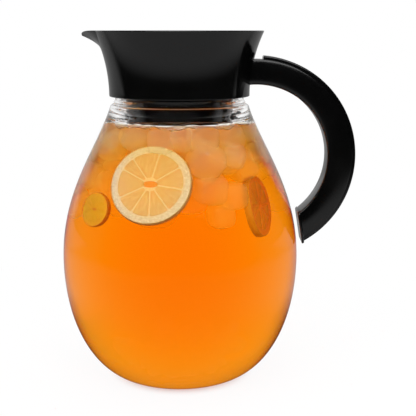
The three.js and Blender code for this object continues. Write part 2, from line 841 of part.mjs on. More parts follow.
function makeLid() {
  const plate = loft([ringOf(lidEdge, () => lidUnder), ringOf(lidEdge, () => lidTop)]);
  const skirtRadius = radiusAt(collarSide, lidUnder - lidSkirtDrop) - collarWall - runningGap;
  const skirt = tube(skirtRadius, skirtRadius - lidSkirtWall, lidUnder - lidSkirtDrop, lidTop - lidPlate / 2);
  const wellFloor = lidTop - wellDepth;
  const cup = revolve([
    [0, wellFloor - lidPlate],
    [wellRadius, wellFloor - lidPlate],
    [wellRadius + lidPlate, wellFloor],
    [wellRadius + lidPlate, lidTop],
    [0, lidTop],
  ], innerSteps);
  const well = revolve([
    [0, wellFloor],
    [wellRadius - wellRound, wellFloor],
    [wellRadius, wellFloor + wellRound],
    [wellRadius, lidTop + overrun],
    [0, lidTop + overrun],
  ], innerSteps);
  const neckHalf = barrelNeckHeight / 2;
  const barrel = rodAlongY(barrelRadius, barrelHalfLength, hingeX, hingeZ).add(
    block(
      [deckX - deckGap - lidPlate, -barrelHalfLength, hingeZ - neckHalf],
      [hingeX, barrelHalfLength, hingeZ + neckHalf],
    ),
  );
  const pockets = gripTenons(seatGap, overrun);
  const pinHole = rodAlongY(pinRadius + seatGap, barrelHalfLength + overrun, hingeX, hingeZ);
  return unionOf([plate, skirt, cup])
    .subtract(well)
    .subtract(behindLid(0, wellFloor - 2 * lidPlate, rimHeight))
    .add(barrel)
    .subtract(pinHole)
    .subtract(unionOf(pockets));
}

// The two tenons that hold the grip in the lid, grown by a gap to make their pockets.
function gripTenons(gap, above) {
  const half = gripTenonWidth / 2 + gap;
  return [-1, 1].map((side) => {
    const inner = wellRadius + lidPlate;
    const outer = inner + gripTenon;
    const ys = side > 0 ? [inner - gap, outer + gap] : [-outer - gap, -inner + gap];
    return block([-half, ys[0], lidUnder - overrun], [half, ys[1], lidTop + seatGap + above]);
  });
}

function makeLidGrip() {
  const barFoot = lidTop + seatGap;
  const barTop = lidTop + gripProud;
  const half = wellRadius + lidPlate + gripTenon + seatGap + lidPlate;
  const outline = new THREE.Shape();
  outline.moveTo(-half, barFoot);
  outline.lineTo(-half, barFoot + (barTop - barFoot) / 3);
  outline.quadraticCurveTo(-wellRadius, barTop, -wellRadius / 2, barTop);
  outline.lineTo(wellRadius / 2, barTop);
  outline.quadraticCurveTo(wellRadius, barTop, half, barFoot + (barTop - barFoot) / 3);
  outline.lineTo(half, barFoot);
  const bar = solidOf(
    new THREE.ExtrudeGeometry(outline, { depth: gripWidth, bevelEnabled: false, curveSegments: 6 })
      .translate(0, 0, -gripWidth / 2)
      .rotateX(Math.PI / 2)
      .rotateZ(Math.PI / 2),
  );
  const rounding = rodAlongY(gripWidth, half, 0, barTop - gripWidth).add(
    block([-gripWidth, -half, barFoot], [gripWidth, half, barTop - gripThickness / 4]),
  );
  return unionOf([bar.intersect(rounding), ...gripTenons(0, overrun)]);
}

function makeLidSeal() {
  const outer = coneRadius + upstandWidth;
  return tube(outer, coneRadius, lidSealFoot, lidSealFoot + lidSealThickness, innerSteps);
}

function makeHingePin() {
  return rodAlongY(pinRadius, cheekOuter, hingeX, hingeZ);
}

// The basket hangs by three lugs in the carrier's windows and ends just inside the throat's lower edge.
const basketTop = sleeveFoot + basketRingRise + basketRingHeight;
const basketRingFoot = basketTop - basketRingHeight;
const basketFoot = throatFoot + basketFootLift;
const meshRadius = basketInner - seatGap;

function makeBasketFrame() {
  const top = tube(basketRingRadius, basketInner, basketRingFoot, basketTop, innerSteps);
  const foot = tube(basketRadius, basketInner - basketFootWidth, basketFoot, basketFoot + basketFootHeight, innerSteps);
  const hoopFoot = (basketFoot + basketRingFoot - hoopHeight) / 2;
  const hoop = tube(basketRadius, basketInner, hoopFoot, hoopFoot + hoopHeight, innerSteps);
  const rib = block([basketInner - seatGap, -ribWidth / 2, basketFoot], [basketRadius, ribWidth / 2, basketTop - overrun])
    .subtract(disc(basketInner, basketFoot + basketFootHeight, basketTop, innerSteps))
    .intersect(disc(basketRadius, basketFoot, basketTop, innerSteps));
  const hub = disc(hubRadius, basketFoot, basketFoot + basketFootHeight, smallSteps);
  const spoke = block([0, -ribWidth / 2, basketFoot], [basketInner - basketFootWidth / 2, ribWidth / 2, basketFoot + basketFootHeight]);
  const lugLow = sleeveFoot + lugRise;
  const lug = ringSector(
    basketRingRadius - basketRingWall / 2, basketRingRadius + lugDepth, lugLow, lugLow + lugHeight,
    -lugSweep / 2, lugSweep / 2,
  );
  return unionOf([
    top, foot, hoop, hub,
    ...roundCopies(rib, basketRibs),
    ...roundCopies(spoke, spokes),
    ...roundCopies(lug, lugs),
  ]);
}

function makeBasketMesh() {
  const foot = basketFoot + basketFootHeight + seatGap;
  return tube(meshRadius, meshRadius - meshThickness, foot, basketTop - seatGap, innerSteps);
}

function makeBasketFloorMesh() {
  const foot = basketFoot + basketFootHeight + seatGap;
  return disc(meshRadius - meshThickness - seatGap, foot, foot + meshThickness, innerSteps);
}

const icedTeaMaker = new THREE.Group();
icedTeaMaker.add(
  named("jug", makeJug(), clearPlastic),
  named("neck_gasket", makeNeckGasket(), blackRubber),
  named("collar", makeCollar(), blackGloss),
  named("handle_shell", makeHandleShell(), blackGloss),
  named("handle_cover", makeHandleCover(), blackGloss),
  named("handle_end_cap", makeHandleEndCap(), blackGloss),
  named("handle_screw_left", makeHandleScrew(-screwY), steel),
  named("handle_screw_right", makeHandleScrew(screwY), steel),
  named("basket_carrier", makeBasketCarrier(), blackSatin),
  named("carrier_seal", makeCarrierSeal(), blackRubber),
  named("lid", makeLid(), blackGloss),
  named("lid_grip", makeLidGrip(), blackSatin),
  named("lid_seal", makeLidSeal(), blackRubber),
  named("lid_hinge_pin", makeHingePin(), steel),
  named("basket_frame", makeBasketFrame(), blackSatin),
  named("basket_mesh", makeBasketMesh(), nylonMesh),
  named("basket_floor_mesh", makeBasketFloorMesh(), nylonMesh),
);

export default icedTeaMaker;
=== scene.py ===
import math
import random

import bmesh
import bpy
import numpy as np
from mathutils import Euler, Matrix, Quaternion, Vector


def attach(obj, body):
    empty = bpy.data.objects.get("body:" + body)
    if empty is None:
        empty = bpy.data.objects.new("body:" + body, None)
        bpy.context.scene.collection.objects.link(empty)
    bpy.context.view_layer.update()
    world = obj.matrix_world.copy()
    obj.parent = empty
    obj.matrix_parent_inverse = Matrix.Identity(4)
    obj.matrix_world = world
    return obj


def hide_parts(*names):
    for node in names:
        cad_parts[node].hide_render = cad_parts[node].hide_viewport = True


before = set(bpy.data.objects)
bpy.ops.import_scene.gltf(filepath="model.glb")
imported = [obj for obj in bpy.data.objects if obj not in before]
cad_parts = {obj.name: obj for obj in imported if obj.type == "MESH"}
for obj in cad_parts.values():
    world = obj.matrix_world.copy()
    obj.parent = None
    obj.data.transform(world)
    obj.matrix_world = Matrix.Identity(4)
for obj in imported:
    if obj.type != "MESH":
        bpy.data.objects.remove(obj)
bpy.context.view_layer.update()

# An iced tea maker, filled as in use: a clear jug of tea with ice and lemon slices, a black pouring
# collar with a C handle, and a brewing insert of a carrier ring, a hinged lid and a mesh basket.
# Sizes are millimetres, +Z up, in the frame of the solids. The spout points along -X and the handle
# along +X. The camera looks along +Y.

MM = 0.001

# Gaps.
seat_gap = 0.3
running_gap = 0.45

# Jug.
base_radius = 36
belly_radius = 84
belly_height = 87
shoulder_height = 196.3
jug_wall = 2.6
jug_floor = 4
neck_radius = 45
neck_wall = 2.8
neck_height = 16.7
ledge_width = 3.2
ledge_round = 2.9
bead_depth = 1.4
bead_rise = 1
bead_height = 2.4
bead_crest = 0.5  # how far above its foot the bead stands out most
neck_blend_drop = 12  # how far below the shoulder the inside starts to bend into the neck
heel_reach_share = 0.5
flank_drop_share = 0.6
flank_rise_share = 0.457
shoulder_inset_share = 0.26
shoulder_drop_share = 0.277

# Thread.
thread_starts = 3
thread_lead = 16.5
thread_depth = 1.4
thread_root = 2.4
thread_crest = 1.4
thread_rise = 9.9
jug_thread_sweep = 75
collar_thread_start = 15
collar_thread_sweep = 45
thread_row = 0.4  # spacing of the mesh rows that carry the thread
thread_fade = 3  # degrees over which a ridge runs out at its ends

# Neck gasket and collar.
gasket_thickness = 1.7
collar_wall = 2.3
collar_lift = 5.7
rim_flare = 10.1
web_thickness = 2.5
throat_gap = 4.5
throat_wall = 2.3
throat_drop = 7.5
flare_foot_share = 0.4
flare_inset_share = 0.436
flare_drop_share = 0.267
spout_reach = 11.2
spout_half_width = 20
spout_depth = 14.5
spout_dip = 3.1
spout_floor = 1.6
spout_curve_power = 2.2
spout_dip_power = 5
spout_round_share = 0.12
spout_foot_share = 0.65
rim_lip = 0.7
shelf_width = 2.6
shelf_height = 2.4
spout_gate_half = 14
boss_margin = 2.6

# Carrier ring of the brewing insert.
basket_rise = 5.7
sleeve_height = 9.7
sleeve_wall = 2.6
cone_rise = 5.1
carrier_plate = 2
cone_width = 7.1
carrier_seal_thickness = 1
carrier_seal_width = 1.6
upstand_width = 2.2
upstand_height = 1.3
drain_slots = 16
drain_width = 2.6
drain_margin = 1
guard_slots = 5
guard_width = 2.4
guard_pitch = 4.2
guard_length = 5
window_play = 2
window_gap = 0.25

# Lid and hinge.
lid_plate = 2.2
lid_recess = 3.6
lid_seal_thickness = 1
lid_skirt_drop = 1.6
lid_skirt_wall = 1.2
well_radius = 16
well_depth = 8
well_round = 2
grip_width = 9
grip_thickness = 3
grip_proud = 3
grip_tenon = 2.4
grip_droop = 0.62  # the share of its standing height that the grip loses at its ends
grip_level_share = 0.45  # of its half length, where it starts to droop
pin_radius = 1.2
barrel_radius = 2.4
barrel_half_length = 8.6
barrel_neck_height = 1.9
cheek_width = 4
hinge_inset = 4.3
hinge_drop = 1.4
deck_gap = 0.4
lid_back_half = 19.5
lid_back_reach = 7.4

# Basket.
basket_gap = 0.5
basket_shrink = 0.8
basket_ring_wall = 2.4
basket_ring_height = 4
basket_ring_rise = 1.7
basket_wall = 1.6
basket_ribs = 8
rib_width = 2.4
basket_foot_lift = 1.2
basket_foot_height = 2.5
basket_foot_width = 4.5
hub_radius = 5
spokes = 5
hoop_height = 2
strand_radius = 0.16
strand_pitch = 1.25  # coarser than tea mesh, so that the weave shows
lug_depth = 1.7
lug_height = 2
lug_rise = 2.6
lugs = 3
lug_sweep = 12
twist_sweep = 30

# Handle.
handle_standoff = 4.3
finger_room = 19.8
handle_depth = 17.3
handle_width = 22
handle_wall = 2.4
handle_side_wall = 3.6
handle_inner_round = 3
handle_outer_round = 1.2
handle_crown = 0.8  # how much the handle's sides swell out between their edges
cover_seat_depth = 3.4
cover_seat_wall = 2.4
cover_proud = 2.6
cover_wall = 2.2
cover_round = 1.1
cover_start = 4.8
handle_gap = 3.5
end_cap_thickness = 1.7
end_cap_proud = 0.5
end_cap_tongue = 4
tongue_wall = 1.4
boss_rise = 0.45
screw_radius = 1.25
screw_head_radius = 2.3
screw_head_height = 1.8
screw_length = 10
screw_side_gap = 0.6
screw_recess = 0.9
screw_recess_radius = 1.1

# Tea, ice and lemon.
tea_level = 182
wall_overlap = 0.2  # the tea reaches this far into the jug's wall, so that no film of air is left
meniscus = 1.6
wave_width = 6  # how far in from the wall the tea's edge is uneven
tea_waves = [(0.8, 9, 0.7), (0.6, 16, 0), (0.4, 27, 2)]  # height, number round the jug, and start
ice_cubes = 48
crushed_lumps = 17  # lumps that float round the wall in each of two layers
side_lumps = 22  # lumps along the wall below them, at the spout's and the handle's side
cube_sizes = (16, 27)
cube_heights = (122, tea_level - 4)
crushed_sizes = (13, 22)
side_sizes = (13, 20)
side_heights = (120, 163)
side_spread = 0.55  # radians each way that the side lumps spread
lump_inset = 0.58  # of a lump's size: how far its middle is from the wall
ice_seed = 11
most_tries = 20000  # to find room for the cubes
cube_power = 3.6  # 2 makes a ball of a cube, and more makes its sides flatter
cube_swell = 1.06
slice_thickness = 5
rind_thickness = 0.6
pith_thickness = 4.2
membrane_thickness = 0.65
lemon_membranes = (80, 35, -7, -50, -85, -118, -153, -207, -232, -280)  # degrees, uneven as they grow
core_half_width = 5
core_half_height = 2.2
front_lemon_radius = 26.6
# Middles and radii of the balls round the lemon slices that the ice keeps out of.
clear_of_ice = [(Vector((-17, -56, 148)), 22), (Vector((47, -18, 124)), 16), (Vector((-53, -41, 128)), 11)]
# Three cubes that stand upright beside the front slice: middle, turn and size.
upright_cubes = [
    ((20, -46, 142), (0.05, 0.06, 0.5), 19), ((33, -40, 136), (-0.06, 0.04, 0.9), 17),
    ((26, -43, 124), (0.08, -0.05, 0.6), 15),
]

# Edge rounding and mesh density.
edge_round = 0.5
turn_steps = 160
collar_steps = 300
corner_steps = 4
floor_rows = 8
above_floor = 12  # the rows of the jug's inside before this one are its floor and heel
merge_distance = 1e-4
handle_steps = 72

# Heights that stack up from the table.
neck_top = shoulder_height + neck_height
bead_foot = shoulder_height + bead_rise
collar_foot = shoulder_height + collar_lift
gasket_foot = neck_top + seat_gap
web_under = gasket_foot + gasket_thickness + seat_gap
web_top = web_under + web_thickness
throat_foot = shoulder_height - throat_drop
sleeve_foot = web_top + basket_rise
sleeve_top = sleeve_foot + sleeve_height
flange_top = sleeve_top + cone_rise
flange_under = flange_top - carrier_plate
shelf_top = flange_under - seat_gap - carrier_seal_thickness - seat_gap
upstand_top = flange_top + upstand_height
lid_seal_foot = upstand_top + seat_gap
lid_under = lid_seal_foot + lid_seal_thickness + seat_gap
lid_top = lid_under + lid_plate
rim_height = lid_top + lid_recess
collar_height = rim_height - collar_foot
basket_top = sleeve_foot + basket_ring_rise + basket_ring_height
basket_ring_foot = basket_top - basket_ring_height
basket_foot = throat_foot + basket_foot_lift

# Radii that follow from each other.
shoulder_radius = neck_radius + ledge_width
neck_bore = neck_radius - neck_wall
collar_bore = neck_radius + thread_depth + running_gap
collar_foot_radius = collar_bore + collar_wall
collar_rim_radius = collar_foot_radius + rim_flare
throat_radius = neck_bore - throat_gap
throat_bore = throat_radius - throat_wall
basket_ring_radius = throat_bore - basket_gap - basket_shrink
basket_radius = basket_ring_radius - basket_shrink
basket_inner = basket_radius - basket_wall
mesh_radius = basket_inner - seat_gap
sleeve_inner = basket_ring_radius + running_gap
sleeve_radius = sleeve_inner + sleeve_wall
cone_radius = sleeve_radius + cone_width
spout_half_angle = spout_half_width / collar_rim_radius * 1.1

# Places in the handle.
cavity_half = handle_width / 2 - handle_side_wall
screw_y = cavity_half - screw_head_radius - screw_side_gap
screw_z = web_top + boss_rise
handle_x = collar_foot_radius + handle_standoff
screw_tip = handle_x + seat_gap - screw_length


# Curves of the outlines, as rows of [radius, height].

def cubic(p0, p1, p2, p3, steps):
    t = np.linspace(0, 1, steps + 1)[:, None]
    a, b, c, d = (np.array(p, float) for p in (p0, p1, p2, p3))
    return (1 - t) ** 3 * a + 3 * (1 - t) ** 2 * t * b + 3 * (1 - t) * t**2 * c + t**3 * d


def offset_inwards(path, distance):
    along = np.gradient(path, axis=0)
    along /= np.linalg.norm(along, axis=1)[:, None]
    return path + distance * np.column_stack([-along[:, 1], along[:, 0]])


def radius_at(path, height):
    return float(np.interp(height, path[:, 1], path[:, 0]))


def filleted(corners):
    """A closed outline of (x, y) or (x, y, fillet) corners, with each fillet as a short curve."""
    points = []
    count = len(corners)
    for i, corner in enumerate(corners):
        here = np.array(corner[:2], float)
        fillet = corner[2] if len(corner) > 2 else 0
        if not fillet:
            points.append(here)
            continue
        before = np.array(corners[i - 1][:2], float) - here
        after = np.array(corners[(i + 1) % count][:2], float) - here
        before_length, after_length = np.linalg.norm(before), np.linalg.norm(after)
        cosine = float(before @ after) / (before_length * after_length)
        half = math.acos(max(-1, min(1, cosine))) / 2
        reach = min(fillet / math.tan(half), before_length * 0.49, after_length * 0.49)
        first = here + before * reach / before_length
        last = here + after * reach / after_length
        for t in np.linspace(0, 1, corner_steps + 1):
            points.append((1 - t) ** 2 * first + 2 * (1 - t) * t * here + t**2 * last)
    return np.array(points)


def subdivided(points, spacing):
    """A polyline with points added so that none is further apart than the spacing."""
    rows = [points[0]]
    for a, b in zip(points[:-1], points[1:]):
        steps = max(1, math.ceil(np.linalg.norm(np.subtract(b, a)) / spacing))
        rows += [np.add(a, np.subtract(b, a) * (k + 1) / steps) for k in range(steps)]
    return np.array(rows)


shoulder_run = shoulder_height - belly_height
flank = cubic(
    (base_radius, 0),
    (base_radius + heel_reach_share * (belly_radius - base_radius), 0),
    (belly_radius, belly_height * (1 - flank_drop_share)),
    (belly_radius, belly_height),
    steps=44,
)
shoulder = cubic(
    (belly_radius, belly_height),
    (belly_radius, belly_height + flank_rise_share * shoulder_run),
    (
        shoulder_radius + shoulder_inset_share * (belly_radius - shoulder_radius),
        shoulder_height - shoulder_drop_share * shoulder_run,
    ),
    (shoulder_radius, shoulder_height),
    steps=54,
)
jug_side = np.vstack([flank, shoulder[1:]])
collar_side = cubic(
    (collar_foot_radius, collar_foot),
    (collar_foot_radius, collar_foot + flare_foot_share * collar_height),
    (collar_foot_radius + flare_inset_share * rim_flare, rim_height - flare_drop_share * collar_height),
    (collar_rim_radius, rim_height),
    steps=40,
)


# Makers of meshes. Points are in millimetres and become metres here.

def new_object(name, data):
    thing = bpy.data.objects.new(name, data)
    bpy.context.scene.collection.objects.link(thing)
    return thing


def mesh_of(points, faces):
    """A mesh whose doubles are merged and whose faces point outwards."""
    mesh = bpy.data.meshes.new("made")
    mesh.from_pydata([tuple(c * MM for c in p) for p in points], [], faces)
    work = bmesh.new()
    work.from_mesh(mesh)
    bmesh.ops.remove_doubles(work, verts=work.verts, dist=merge_distance * MM)
    bmesh.ops.dissolve_degenerate(work, edges=work.edges, dist=merge_distance * MM)
    bmesh.ops.recalc_face_normals(work, faces=work.faces)
    work.to_mesh(mesh)
    work.free()
    return mesh


def skinned(rings, closed_path=False):
    """Skins closed rings of equal count. An open path gets a cap on each end."""
    rings = np.asarray(rings, float)
    turns, count = rings.shape[:2]
    faces = []
    for k in range(turns if closed_path else turns - 1):
        low, high = k * count, (k + 1) % turns * count
        for i in range(count):
            j = (i + 1) % count
            faces.append((low + i, low + j, high + j, high + i))
    if not closed_path:
        faces.append(tuple(range(count))[::-1])
        faces.append(tuple(range((turns - 1) * count, turns * count)))
    return mesh_of(rings.reshape(-1, 3), faces)


def ring_at(angle, flat):
    """Rows of [radius, height] as points at an angle round Z."""
    flat = np.asarray(flat, float)
    return np.column_stack([flat[:, 0] * math.cos(angle), flat[:, 0] * math.sin(angle), flat[:, 1]])


def turned_at(angles, outline_at):
    """The closed outlines of [radius, height] that a function gives at angles round Z, skinned."""
    return skinned([ring_at(angle, outline_at(angle)) for angle in angles], closed_path=True)


def turned(outline, steps=turn_steps):
    """A closed outline, or a function that gives it at an angle, turned round Z."""
    outline_at = outline if callable(outline) else lambda angle: outline
    return turned_at(np.linspace(0, 2 * math.pi, steps, endpoint=False), outline_at)


def part_turned(outline, start, end, count):
    """An outline turned from one angle to another, in degrees."""
    return skinned([ring_at(angle, outline) for angle in np.radians(np.linspace(start, end, count))])


def sector(inner, outer, low, high, start, end):
    """A sector of a ring between two angles in degrees."""
    corners = [(inner, low), (outer, low), (outer, high), (inner, high)]
    return part_turned(corners, start, end, max(2, math.ceil((end - start) / 2)) + 1)


def ring_outline(inner, outer, low, high, fillet=edge_round):
    return filleted(
        [(inner, low, fillet), (outer, low, fillet), (outer, high, fillet), (inner, high, fillet)]
    )


def block(low, high):
    corners = [(x, y, z) for x in (low[0], high[0]) for y in (low[1], high[1]) for z in (low[2], high[2])]
    faces = [(0, 1, 3, 2), (4, 6, 7, 5), (0, 4, 5, 1), (2, 3, 7, 6), (0, 2, 6, 4), (1, 5, 7, 3)]
    return mesh_of(corners, faces)


def rod(radius, start, end, axis, centre, sides=32, fillet=0.2):
    """A round rod along axis x or y, through a centre given by its two other coordinates."""
    mesh = turned(filleted([(0, start), (radius, start, fillet), (radius, end, fillet), (0, end)]), sides)
    turn = Matrix.Rotation(math.pi / 2, 4, "Y") if axis == "x" else Matrix.Rotation(-math.pi / 2, 4, "X")
    place = (0, centre[0], centre[1]) if axis == "x" else (centre[0], 0, centre[1])
    mesh.transform(Matrix.Translation(Vector(place) * MM) @ turn)
    return mesh


def evaluated_mesh(holder):
    view = bpy.context.evaluated_depsgraph_get()
    return bpy.data.meshes.new_from_object(
        holder.evaluated_get(view), preserve_all_data_layers=True, depsgraph=view
    )


def combined(mesh, others, operation):
    """The mesh with other closed meshes joined to it, cut from it or kept of it, as one body."""
    holder = new_object("holder", mesh)
    tools = [new_object("tool", other) for other in others]
    for tool in tools:
        modifier = holder.modifiers.new("shape", "BOOLEAN")
        modifier.operation = operation
        modifier.solver = "MANIFOLD"
        modifier.object = tool
    made = evaluated_mesh(holder)
    for thing in [holder, *tools]:
        bpy.data.objects.remove(thing)
    return made


def union(mesh, *others):
    return combined(mesh, others, "UNION")


def cut(mesh, *others):
    return combined(mesh, others, "DIFFERENCE")


# Node trees.

def feed(tree, node, inputs):
    """Gives a node its inputs. Each takes a value, a socket, or a node for its first output."""
    for key, value in inputs.items():
        if isinstance(value, bpy.types.Node):
            value = value.outputs[0]
        if isinstance(value, bpy.types.NodeSocket):
            tree.links.new(value, node.inputs[key])
        else:
            node.inputs[key].default_value = value


def add(tree, kind, inputs=None, **settings):
    node = tree.nodes.new(kind)
    for key, value in settings.items():
        setattr(node, key, value)
    feed(tree, node, inputs or {})
    return node


def calc(tree, operation, *values, **settings):
    return add(tree, "ShaderNodeMath", dict(enumerate(values)), operation=operation, **settings)


def new_tree(name, **sizes):
    """A tree with a geometry input and output, and a named input for each size."""
    tree = bpy.data.node_groups.new(name, "GeometryNodeTree")
    tree.interface.new_socket("Geometry", in_out="OUTPUT", socket_type="NodeSocketGeometry")
    sockets = {"Geometry": "Geometry", **sizes, "Finish": "Material"}
    for size, kind in sockets.items():
        tree.interface.new_socket(size.replace("_", " "), in_out="INPUT", socket_type="NodeSocket" + kind)
    return tree, add(tree, "NodeGroupInput").outputs


def end_tree(tree, given, geometry):
    real = add(tree, "GeometryNodeRealizeInstances", {"Geometry": geometry})
    finished = add(tree, "GeometryNodeSetMaterial", {"Geometry": real, "Material": given["Finish"]})
    add(tree, "NodeGroupOutput", {"Geometry": finished})
    return tree


def grown(mesh, tree, finish=None, **sizes):
    """The mesh that a tree makes from a mesh and its named sizes."""
    holder = new_object("holder", mesh)
    modifier = holder.modifiers.new("tree", "NODES")
    modifier.node_group = tree
    values = {key.replace("_", " "): value for key, value in sizes.items()}
    values["Finish"] = finish
    for item in tree.interface.items_tree:
        if item.in_out == "INPUT" and item.name in values:
            modifier[item.identifier] = values[item.name]
    made = evaluated_mesh(holder)
    bpy.data.objects.remove(holder)
    return made


def round_copies_tree():
    """Copies of the given mesh, spaced evenly round the Z axis."""
    tree, given = new_tree("copies_round_axis", Copies="Int")
    points = add(
        tree, "GeometryNodeMeshLine",
        {"Count": given["Copies"], "Start Location": (0, 0, 0), "Offset": (0, 0, 0)},
    )
    turn = calc(tree, "DIVIDE", 2 * math.pi, given["Copies"])
    angle = calc(tree, "MULTIPLY", add(tree, "GeometryNodeInputIndex"), turn)
    rotation = add(tree, "FunctionNodeAxisAngleToRotation", {"Axis": (0, 0, 1), "Angle": angle})
    copies = add(
        tree, "GeometryNodeInstanceOnPoints",
        {"Points": points, "Instance": given["Geometry"], "Rotation": rotation},
    )
    return end_tree(tree, given, copies)


def row_copies_tree():
    """Copies of the given mesh in a row along Y, centred on it."""
    tree, given = new_tree("copies_in_row", Copies="Int", Pitch="Float")
    run = calc(tree, "MULTIPLY", calc(tree, "SUBTRACT", given["Copies"], 1.0), given["Pitch"])
    start = add(tree, "ShaderNodeCombineXYZ", {"Y": calc(tree, "MULTIPLY", run, -0.5)})
    step = add(tree, "ShaderNodeCombineXYZ", {"Y": given["Pitch"]})
    points = add(
        tree, "GeometryNodeMeshLine", {"Count": given["Copies"], "Start Location": start, "Offset": step}
    )
    copies = add(
        tree, "GeometryNodeInstanceOnPoints", {"Points": points, "Instance": given["Geometry"]}
    )
    return end_tree(tree, given, copies)


def lines_in_one_place(tree, end, points, copies):
    """Straight curves from the origin to one end, each of so many points."""
    line = add(tree, "GeometryNodeCurvePrimitiveLine", {"Start": (0, 0, 0), "End": end})
    fine_line = add(tree, "GeometryNodeResampleCurve", {"Curve": line, "Count": points})
    return add(
        tree, "GeometryNodeDuplicateElements", {"Geometry": fine_line, "Amount": copies}, domain="SPLINE"
    )


def over_and_under(tree, beat, strand):
    """A swing between 1 and -1 that changes sides with each beat and from strand to strand."""
    return calc(tree, "COSINE", calc(tree, "MULTIPLY", calc(tree, "ADD", beat, strand), math.pi))


def moved(tree, geometry, x, y, z):
    position = add(tree, "ShaderNodeCombineXYZ", {"X": x, "Y": y, "Z": z})
    return add(tree, "GeometryNodeSetPosition", {"Geometry": geometry, "Position": position})


def moved_round(tree, geometry, radius, angle, height):
    """Moves each point to a radius, angle and height about the Z axis."""
    x = calc(tree, "MULTIPLY", radius, calc(tree, "COSINE", angle))
    y = calc(tree, "MULTIPLY", radius, calc(tree, "SINE", angle))
    return moved(tree, geometry, x, y, height)


def wires_along(tree, given, curves):
    section = add(
        tree, "GeometryNodeCurvePrimitiveCircle", {"Resolution": 5, "Radius": given["Strand Radius"]}
    )
    return add(
        tree, "GeometryNodeCurveToMesh", {"Curve": curves, "Profile Curve": section, "Fill Caps": True}
    )


def together(tree, *parts):
    both = add(tree, "GeometryNodeJoinGeometry")
    for part in parts:
        tree.links.new(part.outputs[0], both.inputs[0])
    return both


def woven_tube_tree():
    """Upright strands and hoops that pass over and under each other round a tube."""
    tree, given = new_tree(
        "woven_tube", Radius="Float", Foot="Float", Height="Float", Uprights="Int", Hoops="Int",
        Strand_Radius="Float",
    )
    radius, foot, height, uprights, hoops, swing = (
        given[key] for key in ("Radius", "Foot", "Height", "Uprights", "Hoops", "Strand Radius")
    )
    along = add(tree, "GeometryNodeSplineParameter").outputs
    rows = calc(tree, "SUBTRACT", hoops, 1.0)

    lines = lines_in_one_place(tree, (0, 0, 1), hoops, uprights)
    line = lines.outputs["Duplicate Index"]
    line_swing = over_and_under(tree, calc(tree, "MULTIPLY", along["Factor"], rows), line)
    placed_lines = moved_round(
        tree, lines,
        calc(tree, "MULTIPLY_ADD", line_swing, swing, radius),
        calc(tree, "MULTIPLY", line, calc(tree, "DIVIDE", 2 * math.pi, uprights)),
        calc(tree, "MULTIPLY_ADD", along["Factor"], height, foot),
    )

    around = calc(tree, "MULTIPLY", uprights, 2.0)
    circle = add(tree, "GeometryNodeCurvePrimitiveCircle", {"Resolution": around, "Radius": 1.0})
    rounds = add(
        tree, "GeometryNodeDuplicateElements", {"Geometry": circle, "Amount": hoops}, domain="SPLINE"
    )
    hoop = rounds.outputs["Duplicate Index"]
    hoop_swing = over_and_under(tree, calc(tree, "MULTIPLY", along["Index"], 0.5), hoop)
    placed_hoops = moved_round(
        tree, rounds,
        calc(tree, "MULTIPLY_ADD", hoop_swing, calc(tree, "MULTIPLY", swing, -1.0), radius),
        calc(tree, "MULTIPLY", along["Index"], calc(tree, "DIVIDE", math.pi, uprights)),
        calc(tree, "MULTIPLY_ADD", calc(tree, "DIVIDE", hoop, rows), height, foot),
    )
    wires = [wires_along(tree, given, curves) for curves in (placed_lines, placed_hoops)]
    return end_tree(tree, given, together(tree, *wires))


def woven_disc_tree():
    """Straight strands along X that wave over and under the ones that cross them, cut to a disc."""
    tree, given = new_tree(
        "woven_disc", Radius="Float", Strands="Int", Height="Float", Strand_Radius="Float"
    )
    radius, strands = given["Radius"], given["Strands"]
    lines = lines_in_one_place(tree, (1, 0, 0), strands, strands)
    strand = lines.outputs["Duplicate Index"]
    across = calc(tree, "DIVIDE", calc(tree, "ADD", strand, 0.5), strands)
    side = calc(tree, "MULTIPLY_ADD", across, 2.0, -1.0)
    half_chord = calc(tree, "SQRT", calc(tree, "SUBTRACT", 1.0, calc(tree, "MULTIPLY", side, side)))
    factor = add(tree, "GeometryNodeSplineParameter").outputs["Factor"]
    reach = calc(tree, "MULTIPLY", calc(tree, "MULTIPLY_ADD", factor, 2.0, -1.0), half_chord)
    crossed = calc(tree, "MULTIPLY", reach, calc(tree, "MULTIPLY", strands, 0.5))
    swing = over_and_under(tree, crossed, strand)
    placed = moved(
        tree, lines, calc(tree, "MULTIPLY", reach, radius), calc(tree, "MULTIPLY", side, radius),
        calc(tree, "MULTIPLY_ADD", swing, given["Strand Radius"], given["Height"]),
    )
    wires = wires_along(tree, given, placed)
    crosswise = add(
        tree, "GeometryNodeTransform", {"Geometry": wires, "Rotation": Euler((0, 0, math.pi / 2))}
    )
    return end_tree(tree, given, together(tree, wires, crosswise))


def strewn_tree():
    """A copy of the given mesh on each point of the places object, with its own turn and size."""
    tree, given = new_tree("strewn", Places="Object")
    places = add(tree, "GeometryNodeObjectInfo", {"Object": given["Places"]})
    turn, size = (
        add(tree, "GeometryNodeInputNamedAttribute", {"Name": name}, data_type="FLOAT_VECTOR")
        for name in ("turn", "size")
    )
    rotation = add(tree, "FunctionNodeEulerToRotation", {"Euler": turn})
    copies = add(
        tree, "GeometryNodeInstanceOnPoints",
        {
            "Points": places.outputs["Geometry"], "Instance": given["Geometry"],
            "Rotation": rotation, "Scale": size,
        },
    )
    return end_tree(tree, given, copies)


copies_round_axis = round_copies_tree()
copies_in_row = row_copies_tree()
woven_tube = woven_tube_tree()
woven_disc = woven_disc_tree()
strewn = strewn_tree()


# Materials.

def colour_of(code):
    """An sRGB hex colour as linear red, green, blue and alpha."""
    parts = [int(code[i : i + 2], 16) / 255 for i in (1, 3, 5)]
    return tuple(c / 12.92 if c <= 0.04045 else ((c + 0.055) / 1.055) ** 2.4 for c in parts) + (1.0,)


def new_material(name):
    material = bpy.data.materials.new(name)
    material.use_nodes = True
    return material, material.node_tree


